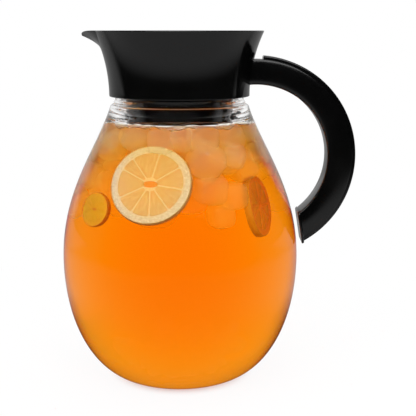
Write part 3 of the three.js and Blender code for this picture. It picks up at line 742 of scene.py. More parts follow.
def shade(material, **inputs):
    """Gives the material's shader its inputs."""
    tree = material.node_tree
    feed(tree, tree.nodes["Principled BSDF"], {key.replace("_", " "): inputs[key] for key in inputs})
    return material


def ramp(tree, value, start, end, low=0.0, high=1.0, kind="LINEAR"):
    """A value that goes from low to high while another goes from start to end."""
    return add(
        tree, "ShaderNodeMapRange",
        {"Value": value, "From Min": start, "From Max": end, "To Min": low, "To Max": high},
        interpolation_type=kind,
    )


def mottled(tree, size_mm, low=0.0, high=1.0, detail=3.0):
    """A value that drifts between two levels in patches of a size."""
    place = add(tree, "ShaderNodeTexCoord").outputs["Object"]
    noise = add(
        tree, "ShaderNodeTexNoise", {"Vector": place, "Scale": 1 / (size_mm * MM), "Detail": detail}
    )
    return ramp(tree, noise.outputs["Fac"], 0.3, 0.7, low, high)


def grain(tree, size_mm, height_mm, detail=2.0):
    """A rough surface of grains of a size and height."""
    height = mottled(tree, size_mm, detail=detail)
    return add(tree, "ShaderNodeBump", {"Height": height, "Distance": height_mm * MM, "Strength": 1.0})


def blend(tree, share, low, high):
    """A colour between two, which are hex codes or sockets."""
    low, high = (colour_of(end) if isinstance(end, str) else end for end in (low, high))
    mix = add(tree, "ShaderNodeMix", {"Factor": share, 6: low, 7: high}, data_type="RGBA")
    return mix.outputs[2]


def clear_copolyester(name, mirror):
    # Blow-moulded copolyester: water-clear, glossy, with a slow unevenness that bends what shows through.
    material, tree = new_material(name)
    return shade(
        material, Base_Color=(1, 1, 1, 1), Roughness=0.0, IOR=1.57, Transmission_Weight=1.0,
        Specular_Tint=(mirror, mirror, mirror, 1.0), Normal=grain(tree, 34, 0.12, detail=0.0),
    )


def black_abs(name, roughness, grain_height_mm):
    # Injection-moulded ABS from a polished tool: near black, hard gloss, a faint orange peel.
    material, tree = new_material(name)
    return shade(
        material, Base_Color=blend(tree, mottled(tree, 26), "#030303", "#060606"),
        Roughness=mottled(tree, 18, roughness * 0.85, roughness * 1.2), IOR=1.53,
        Normal=grain(tree, 1.6, grain_height_mm),
    )


def black_polypropylene():
    # Moulded polypropylene with a fine spark-eroded grain: satin, a little greyer than the ABS.
    material, tree = new_material("black_polypropylene_satin")
    return shade(
        material, Base_Color=blend(tree, mottled(tree, 14), "#0a0a0b", "#121213"),
        Roughness=mottled(tree, 9, 0.34, 0.46), IOR=1.49, Normal=grain(tree, 0.7, 0.02),
    )


def black_silicone():
    # Moulded silicone rubber: soft black, matt, with a bloom of fine dust.
    material, tree = new_material("black_silicone_rubber")
    return shade(
        material, Base_Color=blend(tree, mottled(tree, 5), "#161618", "#242427"), IOR=1.41,
        Roughness=0.62, Normal=grain(tree, 0.5, 0.02),
    )


def nylon_monofilament():
    # Woven nylon monofilament: pale grey, half clear, with a soft gloss along each strand.
    material, tree = new_material("nylon_monofilament")
    return shade(
        material, Base_Color=blend(tree, mottled(tree, 3), "#b4b7b8", "#d2d4d4"), IOR=1.53,
        Roughness=0.35, Subsurface_Weight=0.2, Subsurface_Scale=0.0005,
    )


def stainless_steel():
    # Turned stainless steel: bright grey, with fine lathe lines.
    material, tree = new_material("stainless_steel_turned")
    return shade(
        material, Base_Color=colour_of("#c2c4c8"), Metallic=1.0,
        Roughness=mottled(tree, 1.5, 0.22, 0.34), Normal=grain(tree, 0.3, 0.01),
    )


def brewed_tea():
    # Black tea with lemon: clear amber that deepens to orange with the distance seen through.
    material, tree = new_material("brewed_tea")
    depth = add(tree, "ShaderNodeVolumeAbsorption", {"Color": (1.0, 0.79, 0.0, 1.0), "Density": 50.0})
    tree.links.new(depth.outputs[0], tree.nodes["Material Output"].inputs["Volume"])
    return shade(
        material, Base_Color=(1, 1, 1, 1), Roughness=0.0, IOR=1.333, Transmission_Weight=1.0,
        Specular_Tint=(0.15, 0.15, 0.15, 1), Normal=grain(tree, 16, 0.05, detail=0.0),
    )


def melting_ice():
    # Wet ice in tea: a soft, milky haze of fine bubbles. The index is the small step from tea to ice.
    material, tree = new_material("melting_ice")
    return shade(
        material, Base_Color=(1, 1, 0.93, 1), Roughness=0.3, IOR=1.01, Transmission_Weight=0.91,
        Normal=grain(tree, 9, 0.3, detail=1.0),
    )


def lemon_rind(name, low, high):
    # Lemon zest: waxy yellow with oil pores.
    material, tree = new_material(name)
    return shade(
        material, Base_Color=blend(tree, mottled(tree, 4), low, high), IOR=1.45, Roughness=0.35,
        Normal=grain(tree, 1.2, 0.15),
    )


def lemon_pith(name, low, high, membrane):
    # Lemon pith: spongy, speckled off-white in the ring, thinner and stained by the juice in the
    # membranes. The darker copy is browner all over, partly a stain from the tea and partly painted shade.
    material, tree = new_material(name)
    place = add(tree, "ShaderNodeSeparateXYZ", {0: add(tree, "ShaderNodeUVMap", uv_map="outwards")})
    ring = ramp(tree, place.outputs["Y"], 0.74, 0.86)
    speckled = blend(tree, mottled(tree, 1.1, detail=1.0), low, high)
    return shade(
        material, Base_Color=blend(tree, ring, membrane, speckled), IOR=1.4, Roughness=0.6,
        Normal=grain(tree, 1.5, 0.1),
    )


def lemon_flesh(name, low, high):
    # Lemon segments: wet and half clear, stained peach by the tea, streaked by juice sacs that run
    # out from the heart.
    material, tree = new_material(name)
    place = add(tree, "ShaderNodeUVMap", uv_map="outwards")
    stretched = add(tree, "ShaderNodeMapping", {"Vector": place, "Scale": (1.0, 5.6, 1.0)})
    sacs = add(
        tree, "ShaderNodeTexVoronoi", {"Vector": stretched, "Scale": 0.9}, voronoi_dimensions="2D"
    )
    return shade(
        material, Base_Color=blend(tree, sacs.outputs["Distance"], low, high), IOR=1.36,
        Roughness=0.25, Subsurface_Weight=0.3, Subsurface_Scale=0.003,
    )


jug_finish = clear_copolyester("clear_copolyester_blow_moulded", 0.04)
wet_jug_finish = clear_copolyester("clear_copolyester_wetted", 0)
collar_finish = black_abs("black_abs_high_gloss", 0.09, 0.002)
handle_finish = black_abs("black_abs_gloss", 0.13, 0.003)
insert_finish = black_polypropylene()
seal_finish = black_silicone()
mesh_finish = nylon_monofilament()
steel_finish = stainless_steel()
tea_finish = brewed_tea()
ice_finish = melting_ice()
fresh_lemon = [
    lemon_rind("lemon_zest", "#dcc078", "#e6cc8c"),
    lemon_pith("lemon_pith", "#dccdae", "#efe6d2", "#f6d6a4"),
    lemon_flesh("lemon_flesh", "#f2b876", "#fbcc8c"),
    lemon_flesh("lemon_core_soaked", "#f59a2c", "#f8a43a"),
]
# Darker copies for the right slice: partly a stain from steeping in the tea, partly painted shade.
steeped_and_shaded_lemon = [
    lemon_rind("lemon_zest_steeped_and_shaded", "#e0a43c", "#e8b04a"),
    lemon_pith("lemon_pith_steeped_and_shaded", "#ec9448", "#f29c50", "#ea9246"),
    lemon_flesh("lemon_flesh_steeped_and_shaded", "#ea9244", "#f09a4c"),
    lemon_flesh("lemon_core_steeped_and_shaded", "#e48a3c", "#ea9244"),
]
lemon_end = [
    fresh_lemon[3],
    lemon_flesh("lemon_pith_soaked", "#ffb620", "#ffbe2c"),
    lemon_flesh("lemon_flesh_soaked", "#ffb620", "#ffbe2c"),
    lemon_flesh("lemon_heart_soaked", "#f09420", "#f49c28"),
]


def settle(name, mesh, body, finishes, nodes=(), sharp_angle=34):
    """Keeps a mesh as a piece with its finishes and its body, and hides the solids it stands for."""
    mesh.name = name
    piece = new_object(name, mesh)
    mesh.shade_smooth()
    mesh.set_sharp_from_angle(angle=math.radians(sharp_angle))
    wanted = finishes if isinstance(finishes, list) else [finishes]
    slots = [face.material_index for face in mesh.polygons]
    mesh.materials.clear()
    for finish in wanted:
        mesh.materials.append(finish)
    if len(wanted) > 1:
        for face, index in zip(mesh.polygons, slots):
            face.material_index = index
    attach(piece, body)
    if nodes:
        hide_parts(*nodes)


# The jug.

def thread_share(angle, height, start_height, start_angle, sweep):
    """How far a thread ridge stands up at a place on the neck, from 0 to 1."""
    share = 0.0
    for start in range(thread_starts):
        turned_by = (math.degrees(angle) - start_angle - start * 360 / thread_starts) % 360
        if turned_by > sweep:
            continue
        middle = start_height + thread_lead * turned_by / 360
        flank_share = (thread_root / 2 - abs(height - middle)) / ((thread_root - thread_crest) / 2)
        end_share = min(turned_by, sweep - turned_by) / thread_fade
        share = max(share, min(1.0, flank_share, end_share))
    return max(0.0, share)


def jug_inside():
    """The inside of the jug from the middle of its floor to the neck's bore, as [radius, height]."""
    side = offset_inwards(jug_side, jug_wall)
    side = side[(side[:, 1] > jug_floor + jug_wall) & (side[:, 1] < shoulder_height - neck_blend_drop)]
    first, last = side[0], side[-1]
    slope = (side[-1] - side[-2]) / np.linalg.norm(side[-1] - side[-2])
    heel_slope = (side[0] - side[1]) / np.linalg.norm(side[0] - side[1])
    heel = cubic(
        (first[0] - 2.5 * jug_floor, jug_floor), (first[0] - jug_floor, jug_floor),
        first + heel_slope * jug_wall, first, 8,
    )
    blend_end = np.array([neck_bore, bead_foot])
    bend = cubic(
        last, last + slope * neck_blend_drop * 0.4, blend_end - (0, neck_blend_drop * 0.5), blend_end, 14
    )
    floor = [(0, jug_floor)] + [(r, jug_floor) for r in np.linspace(0, heel[0][0], floor_rows)[1:]]
    return np.vstack([floor, heel[1:-1], side, bend[1:]])


def make_jug():
    inside = jug_inside()
    bead_top = bead_foot + bead_height
    neck_rows = subdivided([(neck_radius, bead_top), (neck_radius, neck_top - 1)], thread_row)[1:]
    neck_rows = [tuple(row) for row in neck_rows]
    underside = [(r, 0) for r in np.linspace(0, base_radius, floor_rows)[:-1]]
    ledge = filleted([
        tuple(jug_side[-3]), (shoulder_radius, shoulder_height, ledge_round),
        (neck_radius, shoulder_height, 0.15), (neck_radius, bead_foot, 0.15),
        (neck_radius + bead_depth, bead_foot + bead_crest, 0.3), (neck_radius, bead_top, 0.2), neck_rows[0],
    ])[1:-1]
    lip = filleted([
        neck_rows[-1], (neck_radius, neck_top, 0.8), (neck_bore, neck_top, 0.8), (neck_bore, neck_top - 2),
    ])[1:]
    bore = subdivided([(neck_bore, neck_top - 2), inside[-1]], 2)[1:-1]
    outline = np.vstack([underside, jug_side[:-2], ledge, neck_rows, lip, bore, inside[::-1]])
    start_height = shoulder_height + thread_rise

    def at(angle):
        flat = outline.copy()
        for row in flat:
            if abs(row[0] - neck_radius) < 0.01 and bead_top < row[1] < neck_top - 0.9:
                row[0] += thread_depth * thread_share(angle, row[1], start_height, 0, jug_thread_sweep)
        return flat

    mesh = turned(at, 180)
    for face in mesh.polygons:
        x, y, z = face.center / MM
        inner = math.hypot(x, y) < radius_at(jug_side, z) - jug_wall / 2 and z > jug_floor / 2
        face.material_index = int(inner and z < tea_level + meniscus)
    settle("jug_shell", mesh, "jug", [jug_finish, wet_jug_finish], ["jug"], 60)


# What the jug holds.

def surface_wave(angle):
    """How far the tea's edge stands off its level at an angle, where the ice presses on it."""
    return sum(height * math.sin(count * angle + start) for height, count, start in tea_waves)


def tea_mesh():
    """The tea, whose uneven edge climbs the wall a little."""
    wall = offset_inwards(jug_inside(), -wall_overlap)
    wall[0][0] = 0
    below = wall[wall[:, 1] < tea_level - meniscus]

    def at(angle):
        level = tea_level + surface_wave(angle)
        edge = radius_at(wall[above_floor:], level + meniscus)
        surface = cubic(
            (edge, level + meniscus), (edge - 0.6, level + 0.3), (edge - 2.5, level),
            (edge - wave_width, level), 8,
        )
        shares = np.linspace(1, 0, 12)[1:]
        inner = [(share * (edge - wave_width), tea_level + share * (level - tea_level)) for share in shares]
        return np.vstack([below, surface, inner])

    return turned(at, 240)


def ice_cube_mesh():
    """One melted cube about 1 m across, to be scaled: its edges and corners are well rounded."""
    work = bmesh.new()
    bmesh.ops.create_cube(work, size=1.0)
    bmesh.ops.subdivide_edges(work, edges=work.edges, cuts=9, use_grid_fill=True)
    for vert in work.verts:
        place = vert.co * 2
        length = sum(abs(c) ** cube_power for c in place) ** (1 / cube_power)
        vert.co = place / length * 0.5 * cube_swell
    mesh = bpy.data.meshes.new("ice_cube")
    work.to_mesh(mesh)
    work.free()
    return mesh


def ice_places():
    """Seeded middles, turns and sizes of the ice, clear of the wall and of the lemon slices."""
    draw = random.Random(ice_seed)
    inside = jug_inside()[above_floor:]
    places = []

    def drawn_turn():
        return Euler([draw.uniform(0, math.pi) for _ in range(3)])

    def out_from_axis(spread, angle, height):
        return Vector((spread * math.cos(angle), spread * math.sin(angle), height))

    def beside_wall(size, height, angle):
        return out_from_axis(radius_at(inside, height) - size * lump_inset, angle, height)

    def near_lemon(centre, size, share=0.6):
        return any((centre - keep).length < ball + size * share for keep, ball in clear_of_ice)

    for _ in range(most_tries):
        if len(places) == ice_cubes:
            break
        size = draw.uniform(*cube_sizes)
        height = draw.uniform(*cube_heights)
        reach = radius_at(inside, height) - size * 0.66
        reach = min(reach, radius_at(inside, min(height + size * 0.5, neck_top)) - size * 0.55)
        if height + size * 0.62 > throat_foot:
            continue
        spread = math.sqrt(draw.random()) * max(reach, 1)
        centre = out_from_axis(spread, draw.uniform(0, 2 * math.pi), height)
        turn = drawn_turn()
        crowded = any((centre - other[0]).length < 0.3 * (size + other[2]) for other in places)
        if not crowded and not near_lemon(centre, size, 0.7):
            places.append((centre, turn, size))
    for i in range(2 * crushed_lumps):
        size = draw.uniform(*crushed_sizes)
        layer = i // crushed_lumps
        height = tea_level - size * draw.uniform(0.3, 0.46) - layer * draw.uniform(8, 14)
        angle = (i + draw.uniform(-0.3, 0.3)) * 2 * math.pi / crushed_lumps
        centre = beside_wall(size, height, angle)
        if not (layer and near_lemon(centre, size)):
            places.append((centre, drawn_turn(), size))
    for i in range(side_lumps):
        size = draw.uniform(*side_sizes)
        height = draw.uniform(*side_heights)
        angle = (i % 2) * math.pi + draw.uniform(-side_spread, side_spread)
        centre = beside_wall(size, height, angle)
        turn = drawn_turn()
        if not near_lemon(centre, size):
            places.append((centre, turn, size))
    return places + [(Vector(centre), Euler(turn), size) for centre, turn, size in upright_cubes]


def make_ice_and_tea():
    places = ice_places()
    cloud = bpy.data.meshes.new("ice_places")
    cloud.from_pydata([centre * MM for centre, _, _ in places], [], [])
    turns = cloud.attributes.new("turn", "FLOAT_VECTOR", "POINT")
    sizes = cloud.attributes.new("size", "FLOAT_VECTOR", "POINT")
    for i, (_, turn, size) in enumerate(places):
        turns.data[i].vector = turn
        sizes.data[i].vector = (size * MM,) * 3
    holder = new_object("ice_places", cloud)
    cubes = grown(ice_cube_mesh(), strewn, ice_finish, Places=holder)
    bpy.data.objects.remove(holder)
    # The cubes become one body when a block inside the first of them is joined to them.
    first = Vector(places[0][0])
    ice = union(cubes, block(first - Vector((1, 1, 1)), first + Vector((1, 1, 1))))
    settle("tea", tea_mesh(), "jug", tea_finish, sharp_angle=50)
    settle("ice_cubes", ice, "jug", ice_finish, sharp_angle=60)


def lemon_segment_mesh(radius, start, end):
    """One segment of the slice between two membranes: a rounded wedge, pillowed on both faces."""
    turn, half_angle = math.radians(start + end) / 2, math.radians(abs(end - start)) / 2
    outer = radius - rind_thickness - pith_thickness * radius / front_lemon_radius
    side_gap = membrane_thickness / 2

    def beside_membrane(distance, side, fillet):
        along = distance * math.cos(half_angle) + side_gap * math.sin(half_angle)
        across = distance * math.sin(half_angle) - side_gap * math.cos(half_angle)
        return along, side * across, fillet

    arc = [
        (outer * math.cos(a), outer * math.sin(a)) for a in np.linspace(-half_angle, half_angle, 9)[1:-1]
    ]
    flat = filleted([
        beside_membrane(radius * 0.17, 1, 0.4), beside_membrane(radius * 0.17, -1, 0.4),
        beside_membrane(outer * 0.985, -1, 3.4), *arc, beside_membrane(outer * 0.985, 1, 3.4),
    ]) @ np.array([(math.cos(turn), math.sin(turn)), (-math.sin(turn), math.cos(turn))])
    towards = flat.mean(axis=0) - flat
    towards /= np.linalg.norm(towards, axis=1)[:, None]
    half = slice_thickness / 2
    upper = [(0, half - 0.7), (0.45, half - 0.15), (1.0, half + 0.1)]
    levels = [(inset, -height) for inset, height in upper[::-1]] + upper
    return skinned([
        np.column_stack([flat + towards * inset, np.full(len(flat), height)]) for inset, height in levels
    ])


def make_lemon_slice(name, centre, azimuth, elevation, spin, radius, finishes):
    """A slice whose face looks along an azimuth (0 is the camera, 90 is +X) and an elevation."""
    half = slice_thickness / 2
    share = radius / front_lemon_radius
    inner, face = radius - rind_thickness, half - 0.25
    rind = turned(filleted([
        (inner, -half, 0.2), (radius - 0.3, -half, 0.6), (radius, 0, 2), (radius - 0.3, half, 0.6),
        (inner, half, 0.2),
    ]), 96)
    pith = turned(ring_outline(core_half_height * share, inner + 0.05, -face, face, 0.3), 96)
    for vert in pith.vertices:
        if vert.co.xy.length < radius / 2 * MM:
            vert.co.x *= core_half_width / core_half_height
    core_edge = core_half_height * share + 0.1
    core = turned(
        filleted([(0, 0.6 - half), (core_edge, 0.6 - half), (core_edge, half - 0.6), (0, half - 0.6)]), 48
    )
    for vert in core.vertices:
        vert.co.x *= core_half_width / core_half_height
    parts = [(rind, 0), (pith, 1), (core, 3)]
    for start, end in zip(lemon_membranes, lemon_membranes[1:]):
        parts.append((lemon_segment_mesh(radius, start, end), 2))
    work = bmesh.new()
    for part, slot_index in parts:
        for polygon in part.polygons:
            polygon.material_index = slot_index
        work.from_mesh(part)
    mesh = bpy.data.meshes.new("joined")
    work.to_mesh(mesh)
    work.free()
    layer = mesh.uv_layers.new(name="outwards")
    for loop in mesh.loops:
        x, y, _ = mesh.vertices[loop.vertex_index].co / MM
        layer.data[loop.index].uv = (math.atan2(y, x) * radius * 0.6, math.hypot(x, y) / radius)
    a, e = math.radians(azimuth), math.radians(elevation)
    facing = Vector((math.sin(a) * math.cos(e), -math.cos(a) * math.cos(e), math.sin(e)))
    turn = facing.to_track_quat("Z", "Y") @ Quaternion((0, 0, 1), math.radians(spin))
    mesh.transform(Matrix.Translation(Vector(centre) * MM) @ turn.to_matrix().to_4x4())
    settle(name, mesh, "jug", finishes, sharp_angle=50)


# The collar and its spout.

def spout_share(angle, half_width):
    away = abs(math.atan2(-math.sin(angle), -math.cos(angle)))
    return away * collar_rim_radius / half_width


def rim_at(angle):
    return rim_height - spout_dip * max(0.0, 1 - spout_share(angle, spout_half_width)) ** spout_dip_power


def spout_out(angle, height):
    """How far the spout stands out of the collar: a V with a rounded ridge, fading towards its foot."""
    foot = rim_height - spout_depth
    up = min(1.0, max(0.0, (height - foot) / (rim_at(angle) - foot)))
    half_width = spout_half_width * (spout_foot_share + (1 - spout_foot_share) * up)
    around = math.hypot(spout_share(angle, half_width), spout_round_share)
    return spout_reach * up**spout_curve_power * max(0.0, (1 - around) / (1 - spout_round_share))


def collar_angles():
    """Angles round the collar, closer together across the spout."""
    across = np.linspace(math.pi - spout_half_angle, math.pi + spout_half_angle, 90, endpoint=False)
    around = np.linspace(
        math.pi + spout_half_angle, 3 * math.pi - spout_half_angle, collar_steps - 90, endpoint=False
    )
    return np.concatenate([across, around])


def collar_outline_at(angle):
    """The collar's closed outline at an angle, wall, web and throat in one."""
    top = rim_at(angle)
    lip_foot = top - rim_lip
    outer = []
    for _, height in collar_side:
        z = collar_foot + (height - collar_foot) * (lip_foot - collar_foot) / collar_height
        outer.append((radius_at(collar_side, z) + spout_out(angle, z), z))
    in_gate = math.cos(angle) < 0 and abs(math.sin(angle)) * collar_rim_radius < spout_gate_half
    inner = []
    for height in np.linspace(lip_foot, web_top + 1.0, 34):
        wall = radius_at(collar_side, height) - collar_wall + spout_out(angle, height - spout_floor)
        below = shelf_top - height
        if 0 <= below <= shelf_height + shelf_width and not in_gate:
            wall -= min(shelf_width, max(0.0, shelf_height + shelf_width - below))
        inner.append([wall, height])
    rim = cubic(outer[-1], (outer[-1][0], top + 0.1), (inner[0][0], top + 0.1), inner[0], 8)[1:-1]
    rim[:, 1] = np.minimum(rim[:, 1], top)
    rim[3][0] = (outer[-1][0] + inner[0][0]) / 2
    start_height = shoulder_height + thread_rise - thread_root - seat_gap
    start_height += thread_lead * collar_thread_start / 360
    bore = []
    for height in np.arange(web_under - 0.4, collar_foot + 0.6, -thread_row):
        ridge = thread_share(angle, height, start_height, collar_thread_start, collar_thread_sweep)
        bore.append((collar_bore - (collar_bore - neck_radius - running_gap) * ridge, height))
    web_wall = radius_at(collar_side, web_top) - collar_wall
    inside = [
        (web_wall, web_top + 0.3), (web_wall - 0.8, web_top), (throat_bore + 0.6, web_top),
        (throat_bore, web_top - 0.6), (throat_bore, throat_foot + 0.5), (throat_bore + 0.5, throat_foot),
        (throat_radius - 0.5, throat_foot), (throat_radius, throat_foot + 0.5),
        (throat_radius, web_under - 0.5), (throat_radius + 0.5, web_under), (collar_bore - 0.4, web_under),
    ]
    foot = [
        (collar_bore, collar_foot + 0.4), (collar_bore + 0.5, collar_foot),
        (collar_foot_radius - 0.5, collar_foot), (collar_foot_radius - 0.1, collar_foot + 0.1),
    ]
    outer[0] = (collar_foot_radius, collar_foot + 0.5)
    return np.vstack([outer, rim, inner, inside, bore, foot])


def make_collar():
    body = turned_at(collar_angles(), collar_outline_at)
    boss_half = screw_y + screw_radius + boss_margin
    boss = block(
        (screw_tip - boss_margin, -boss_half, web_under + 0.5),
        (collar_foot_radius - collar_wall / 2, boss_half, screw_z + screw_radius + boss_margin),
    )
    settle("pouring_collar", union(body, boss), "collar", collar_finish, ["collar"])


def make_ring_seal(name, node, body, inner, outer, foot, thickness, fillet):
    mesh = turned(ring_outline(inner, outer, foot, foot + thickness, fillet))
    settle(name, mesh, body, seal_finish, [node], 38)


# The handle, swept along a circular arc.

handle_inner = belly_radius + finger_room - handle_x
handle_z = screw_z - (handle_depth - cover_seat_depth + handle_wall) / 2 - handle_inner
handle_outer = handle_inner + handle_depth
cover_outer = handle_outer + cover_proud
cover_foot = handle_outer - cover_seat_depth + seat_gap
cover_half = handle_width / 2 - cover_seat_wall - seat_gap
cover_start_angle = math.pi / 2 - cover_start / handle_outer


def arc_point(angle, distance, y=0.0):
    return np.array([handle_x + distance * math.cos(angle), y, handle_z + distance * math.sin(angle)])


def angle_at_jug(distance, gap):
    """The first angle on the way down where the arc at a distance comes within a gap of the jug."""
    angle = 0.0
    while angle > -math.pi / 2:
        x, _, z = arc_point(angle, distance)
        if x < radius_at(jug_side, z) + gap:
            break
        angle -= math.radians(0.25)
    return angle


end_top = arc_point(angle_at_jug(handle_inner, handle_gap), handle_inner)
end_foot = arc_point(angle_at_jug(cover_outer, handle_gap), cover_outer)
end_turn = math.atan2(end_top[0] - end_foot[0], end_top[2] - end_foot[2])


def angle_at_end(distance, back):
    """The angle where the arc at a distance meets the handle's end plane, moved back by a length."""
    along = back - (handle_x - end_foot[0]) * math.cos(end_turn)
    along += (handle_z - end_foot[2]) * math.sin(end_turn)
    return -end_turn - math.acos(along / distance)


def angle_at_collar(distance, y):
    """The angle where the arc at a distance meets the collar's side, by halving."""
    low, high = math.radians(80), math.radians(115)
    for _ in range(30):
        middle = (low + high) / 2
        x, _, z = arc_point(middle, distance)
        outside = math.hypot(x, y) > radius_at(collar_side, z) + seat_gap / 3
        low, high = (middle, high) if outside else (low, middle)
    return low


def swept(outlines_and_angles):
    """A body through outlines of (distance, y), each with a function that gives its points' angles."""
    return skinned([
        [arc_point(angle_of(d, y), d, y) for d, y in outline] for outline, angle_of in outlines_and_angles
    ])


def at_end(outline, back):
    return outline, lambda d, y: angle_at_end(d, back)


def run_to_end(outline, start):
    """An outline repeated from an angle to the room for the end cap."""
    back = end_cap_thickness + seat_gap
    return [
        (outline, lambda d, y, s=share: start * (1 - s) + angle_at_end(d, back) * s)
        for share in np.linspace(0, 1, handle_steps)
    ]


def drawn_in(outline, low, high, half, inset):
    """An outline across from low to high and half a width each way, smaller by an inset all round."""
    middle = np.array([(low + high) / 2, 0.0])
    return middle + (outline - middle) * (1 - inset / np.array([(high - low) / 2, half]))


def both_sides(rows):
    """Rows of (distance, y, fillet) on one side, and their mirror images on the way back."""
    return rows + [(d, -y, fillet) for d, y, fillet in rows[::-1]]


def rounded_section(low, high, half, inner_round, outer_round):
    return filleted(both_sides([(low, -half, inner_round), (high, -half, outer_round)]))


def shell_outlines():
    """The handle's U section, shut flush with its back where it meets the collar, and open."""
    half = handle_width / 2
    seat_half = half - cover_seat_wall
    seat = handle_outer - cover_seat_depth
    floor = handle_inner + handle_wall
    channel = both_sides([
        (handle_outer, seat_half, 0.4), (seat, seat_half, 0.2), (seat, cavity_half, 0.3),
        (floor, cavity_half, 0.6),
    ])
    side = []
    for share in np.linspace(0, 1, 7):
        distance = handle_outer + (handle_inner - handle_outer) * share
        fillet = {0: handle_outer_round, 1: handle_inner_round}.get(share, 0)
        side.append((distance, handle_crown * (2 * share - 1) ** 2 - half, fillet))
    opened = filleted(channel + both_sides(side))
    return shut(opened, channel, handle_outer), opened


def shut(opened, channel, height):
    """An outline that starts with a channel, with the channel pressed flat to one height."""
    flat = opened.copy()
    flat[: len(channel) * (corner_steps + 1), 0] = height
    return flat


def make_handle_shell():
    closed, opened = shell_outlines()
    start = cover_start_angle + seat_gap / handle_outer
    root = [
        (closed, lambda d, y, s=share: angle_at_collar(d, y) * (1 - s) + start * s)
        for share in np.linspace(0, 1, 12)
    ]
    mesh = swept(root + run_to_end(opened, start))
    settle("handle_body", mesh, "collar", handle_finish, ["handle_shell"])


def make_handle_cover():
    hollow_half = cover_half - cover_wall
    roof = cover_outer - cover_wall
    hollow = both_sides([(cover_foot, hollow_half, 0.2), (roof, hollow_half, 0.4)])
    outside = [(cover_foot, -cover_half, 0.3), (cover_outer, -cover_half, cover_round)]
    opened = filleted(hollow + both_sides(outside))
    closed = shut(opened, hollow, cover_foot)
    pairs = []
    for inset, turned_by in ((0.8, 0.0), (0.25, 0.2), (0.0, 0.8), (0.0, cover_wall)):
        rounded = drawn_in(closed, cover_foot, cover_outer, cover_half, inset)
        pairs.append((rounded, lambda d, y, a=cover_start_angle - turned_by / handle_outer: a))
    mesh = swept(pairs + run_to_end(opened, cover_start_angle - cover_wall / handle_outer))
    settle("handle_strip", mesh, "collar", handle_finish, ["handle_cover"])


def make_handle_end_cap():
    half = handle_width / 2 + end_cap_proud
    low, high = handle_inner - end_cap_proud, cover_outer + end_cap_proud
    full = rounded_section(low, high, half, handle_inner_round, handle_outer_round)
    edge = [(0.35, 0.0), (0.12, 0.1), (0.0, 0.35)]
    layers = [(end_cap_thickness - back, inset) for back, inset in edge[::-1]] + edge
    plate = swept([at_end(drawn_in(full, low, high, half, inset), back) for back, inset in layers])
    tongue_low = handle_inner + handle_wall + seat_gap
    tongue_high = cover_foot - seat_gap
    tongue_half = cavity_half - seat_gap
    outer = rounded_section(tongue_low, tongue_high, tongue_half, tongue_wall, tongue_wall)
    reach = end_cap_thickness + end_cap_tongue
    tongue = swept([at_end(outer, reach), at_end(outer, end_cap_thickness / 2)])
    inner = rounded_section(
        tongue_low + tongue_wall, tongue_high - tongue_wall, tongue_half - tongue_wall, 0.4, 0.4
    )
    hollow = swept([at_end(inner, reach + 1), at_end(inner, end_cap_thickness)])
    mesh = cut(union(plate, tongue), hollow)
    settle("handle_foot_cap", mesh, "collar", handle_finish, ["handle_end_cap"])


def make_handle_screw(name, node, y):
    seat = handle_x + seat_gap
    head_top = seat + screw_head_height
    axis = ("x", (y, screw_z))
    head = rod(screw_head_radius, seat, head_top, *axis, 32, 0.5)
    shank = rod(screw_radius, screw_tip, seat + screw_head_height / 2, *axis, 24, 0.4)
    recess = rod(screw_recess_radius, head_top - screw_recess, head_top + 1, *axis, 6, 0.01)
    settle(name, cut(union(head, shank), recess), "collar", steel_finish, [node])


# The brewing insert.

flange_radius = radius_at(collar_side, flange_under) - collar_wall - running_gap
lid_radius = radius_at(collar_side, lid_under) - collar_wall - running_gap
hinge_x = lid_radius - hinge_inset
hinge_z = lid_top - hinge_drop
deck_x = hinge_x - barrel_radius - deck_gap
lid_back_x = deck_x - deck_gap
cheek_outer = barrel_half_length + running_gap + cheek_width


def hinge_rod(radius, start, end, fillet=0.2):
    return rod(radius, start, end, "y", (hinge_x, hinge_z), fillet=fillet)


def behind_lid(gap, low, high):
    """The room behind the lid and a gap: across its back, and on each side of its narrow back part."""
    shoulder = hinge_x - lid_back_reach + gap
    half = lid_back_half + gap
    reach = collar_rim_radius
    return [
        block((lid_back_x + gap, -reach, low), (reach, reach, high)),
        block((shoulder, half, low), (reach, reach, high)),
        block((shoulder, -reach, low), (reach, -half, high)),
    ]


def carrier_ring():
    return turned(filleted([
        (sleeve_inner, sleeve_foot, 0.4), (sleeve_radius, sleeve_foot, 0.4),
        (sleeve_radius, sleeve_top - carrier_plate, 0.6), (cone_radius, flange_under, 0.5),
        (flange_radius, flange_under, 0.3), (flange_radius, flange_top, 0.4),
        (cone_radius + upstand_width, flange_top, 0.2), (cone_radius + upstand_width, upstand_top, 0.4),
        (cone_radius, upstand_top, 0.4), (cone_radius, flange_top, 0.3), (sleeve_radius, sleeve_top, 0.5),
        (sleeve_inner, sleeve_top, 0.6),
    ]), 144)


def carrier_openings():
    """The drain slots, the strainer in front of the spout and the bayonet windows with their entries."""
    drain = block(
        (sleeve_radius + drain_margin, -drain_width / 2, sleeve_top - carrier_plate - 1),
        (cone_radius - drain_margin, drain_width / 2, flange_top + 1),
    )
    guard = block(
        (-flange_radius - 1, -guard_width / 2, flange_under - 1),
        (-flange_radius + guard_length, guard_width / 2, flange_top + 0.9),
    )
    half = lug_sweep / 2 + window_play
    inner, outer = sleeve_inner - 1, sleeve_radius + 1
    lug_floor = sleeve_foot + lug_rise - window_gap
    window_top = lug_floor + lug_height + 2 * window_gap
    window = sector(inner, outer, lug_floor, window_top, -half, twist_sweep + half)
    entry = sector(
        inner, outer, sleeve_foot - 1, lug_floor + lug_height, twist_sweep - half, twist_sweep + half
    )
    return [
        grown(drain, copies_round_axis, Copies=drain_slots),
        grown(guard, copies_in_row, Copies=guard_slots, Pitch=guard_pitch * MM),
        grown(window, copies_round_axis, Copies=lugs), grown(entry, copies_round_axis, Copies=lugs),
    ]


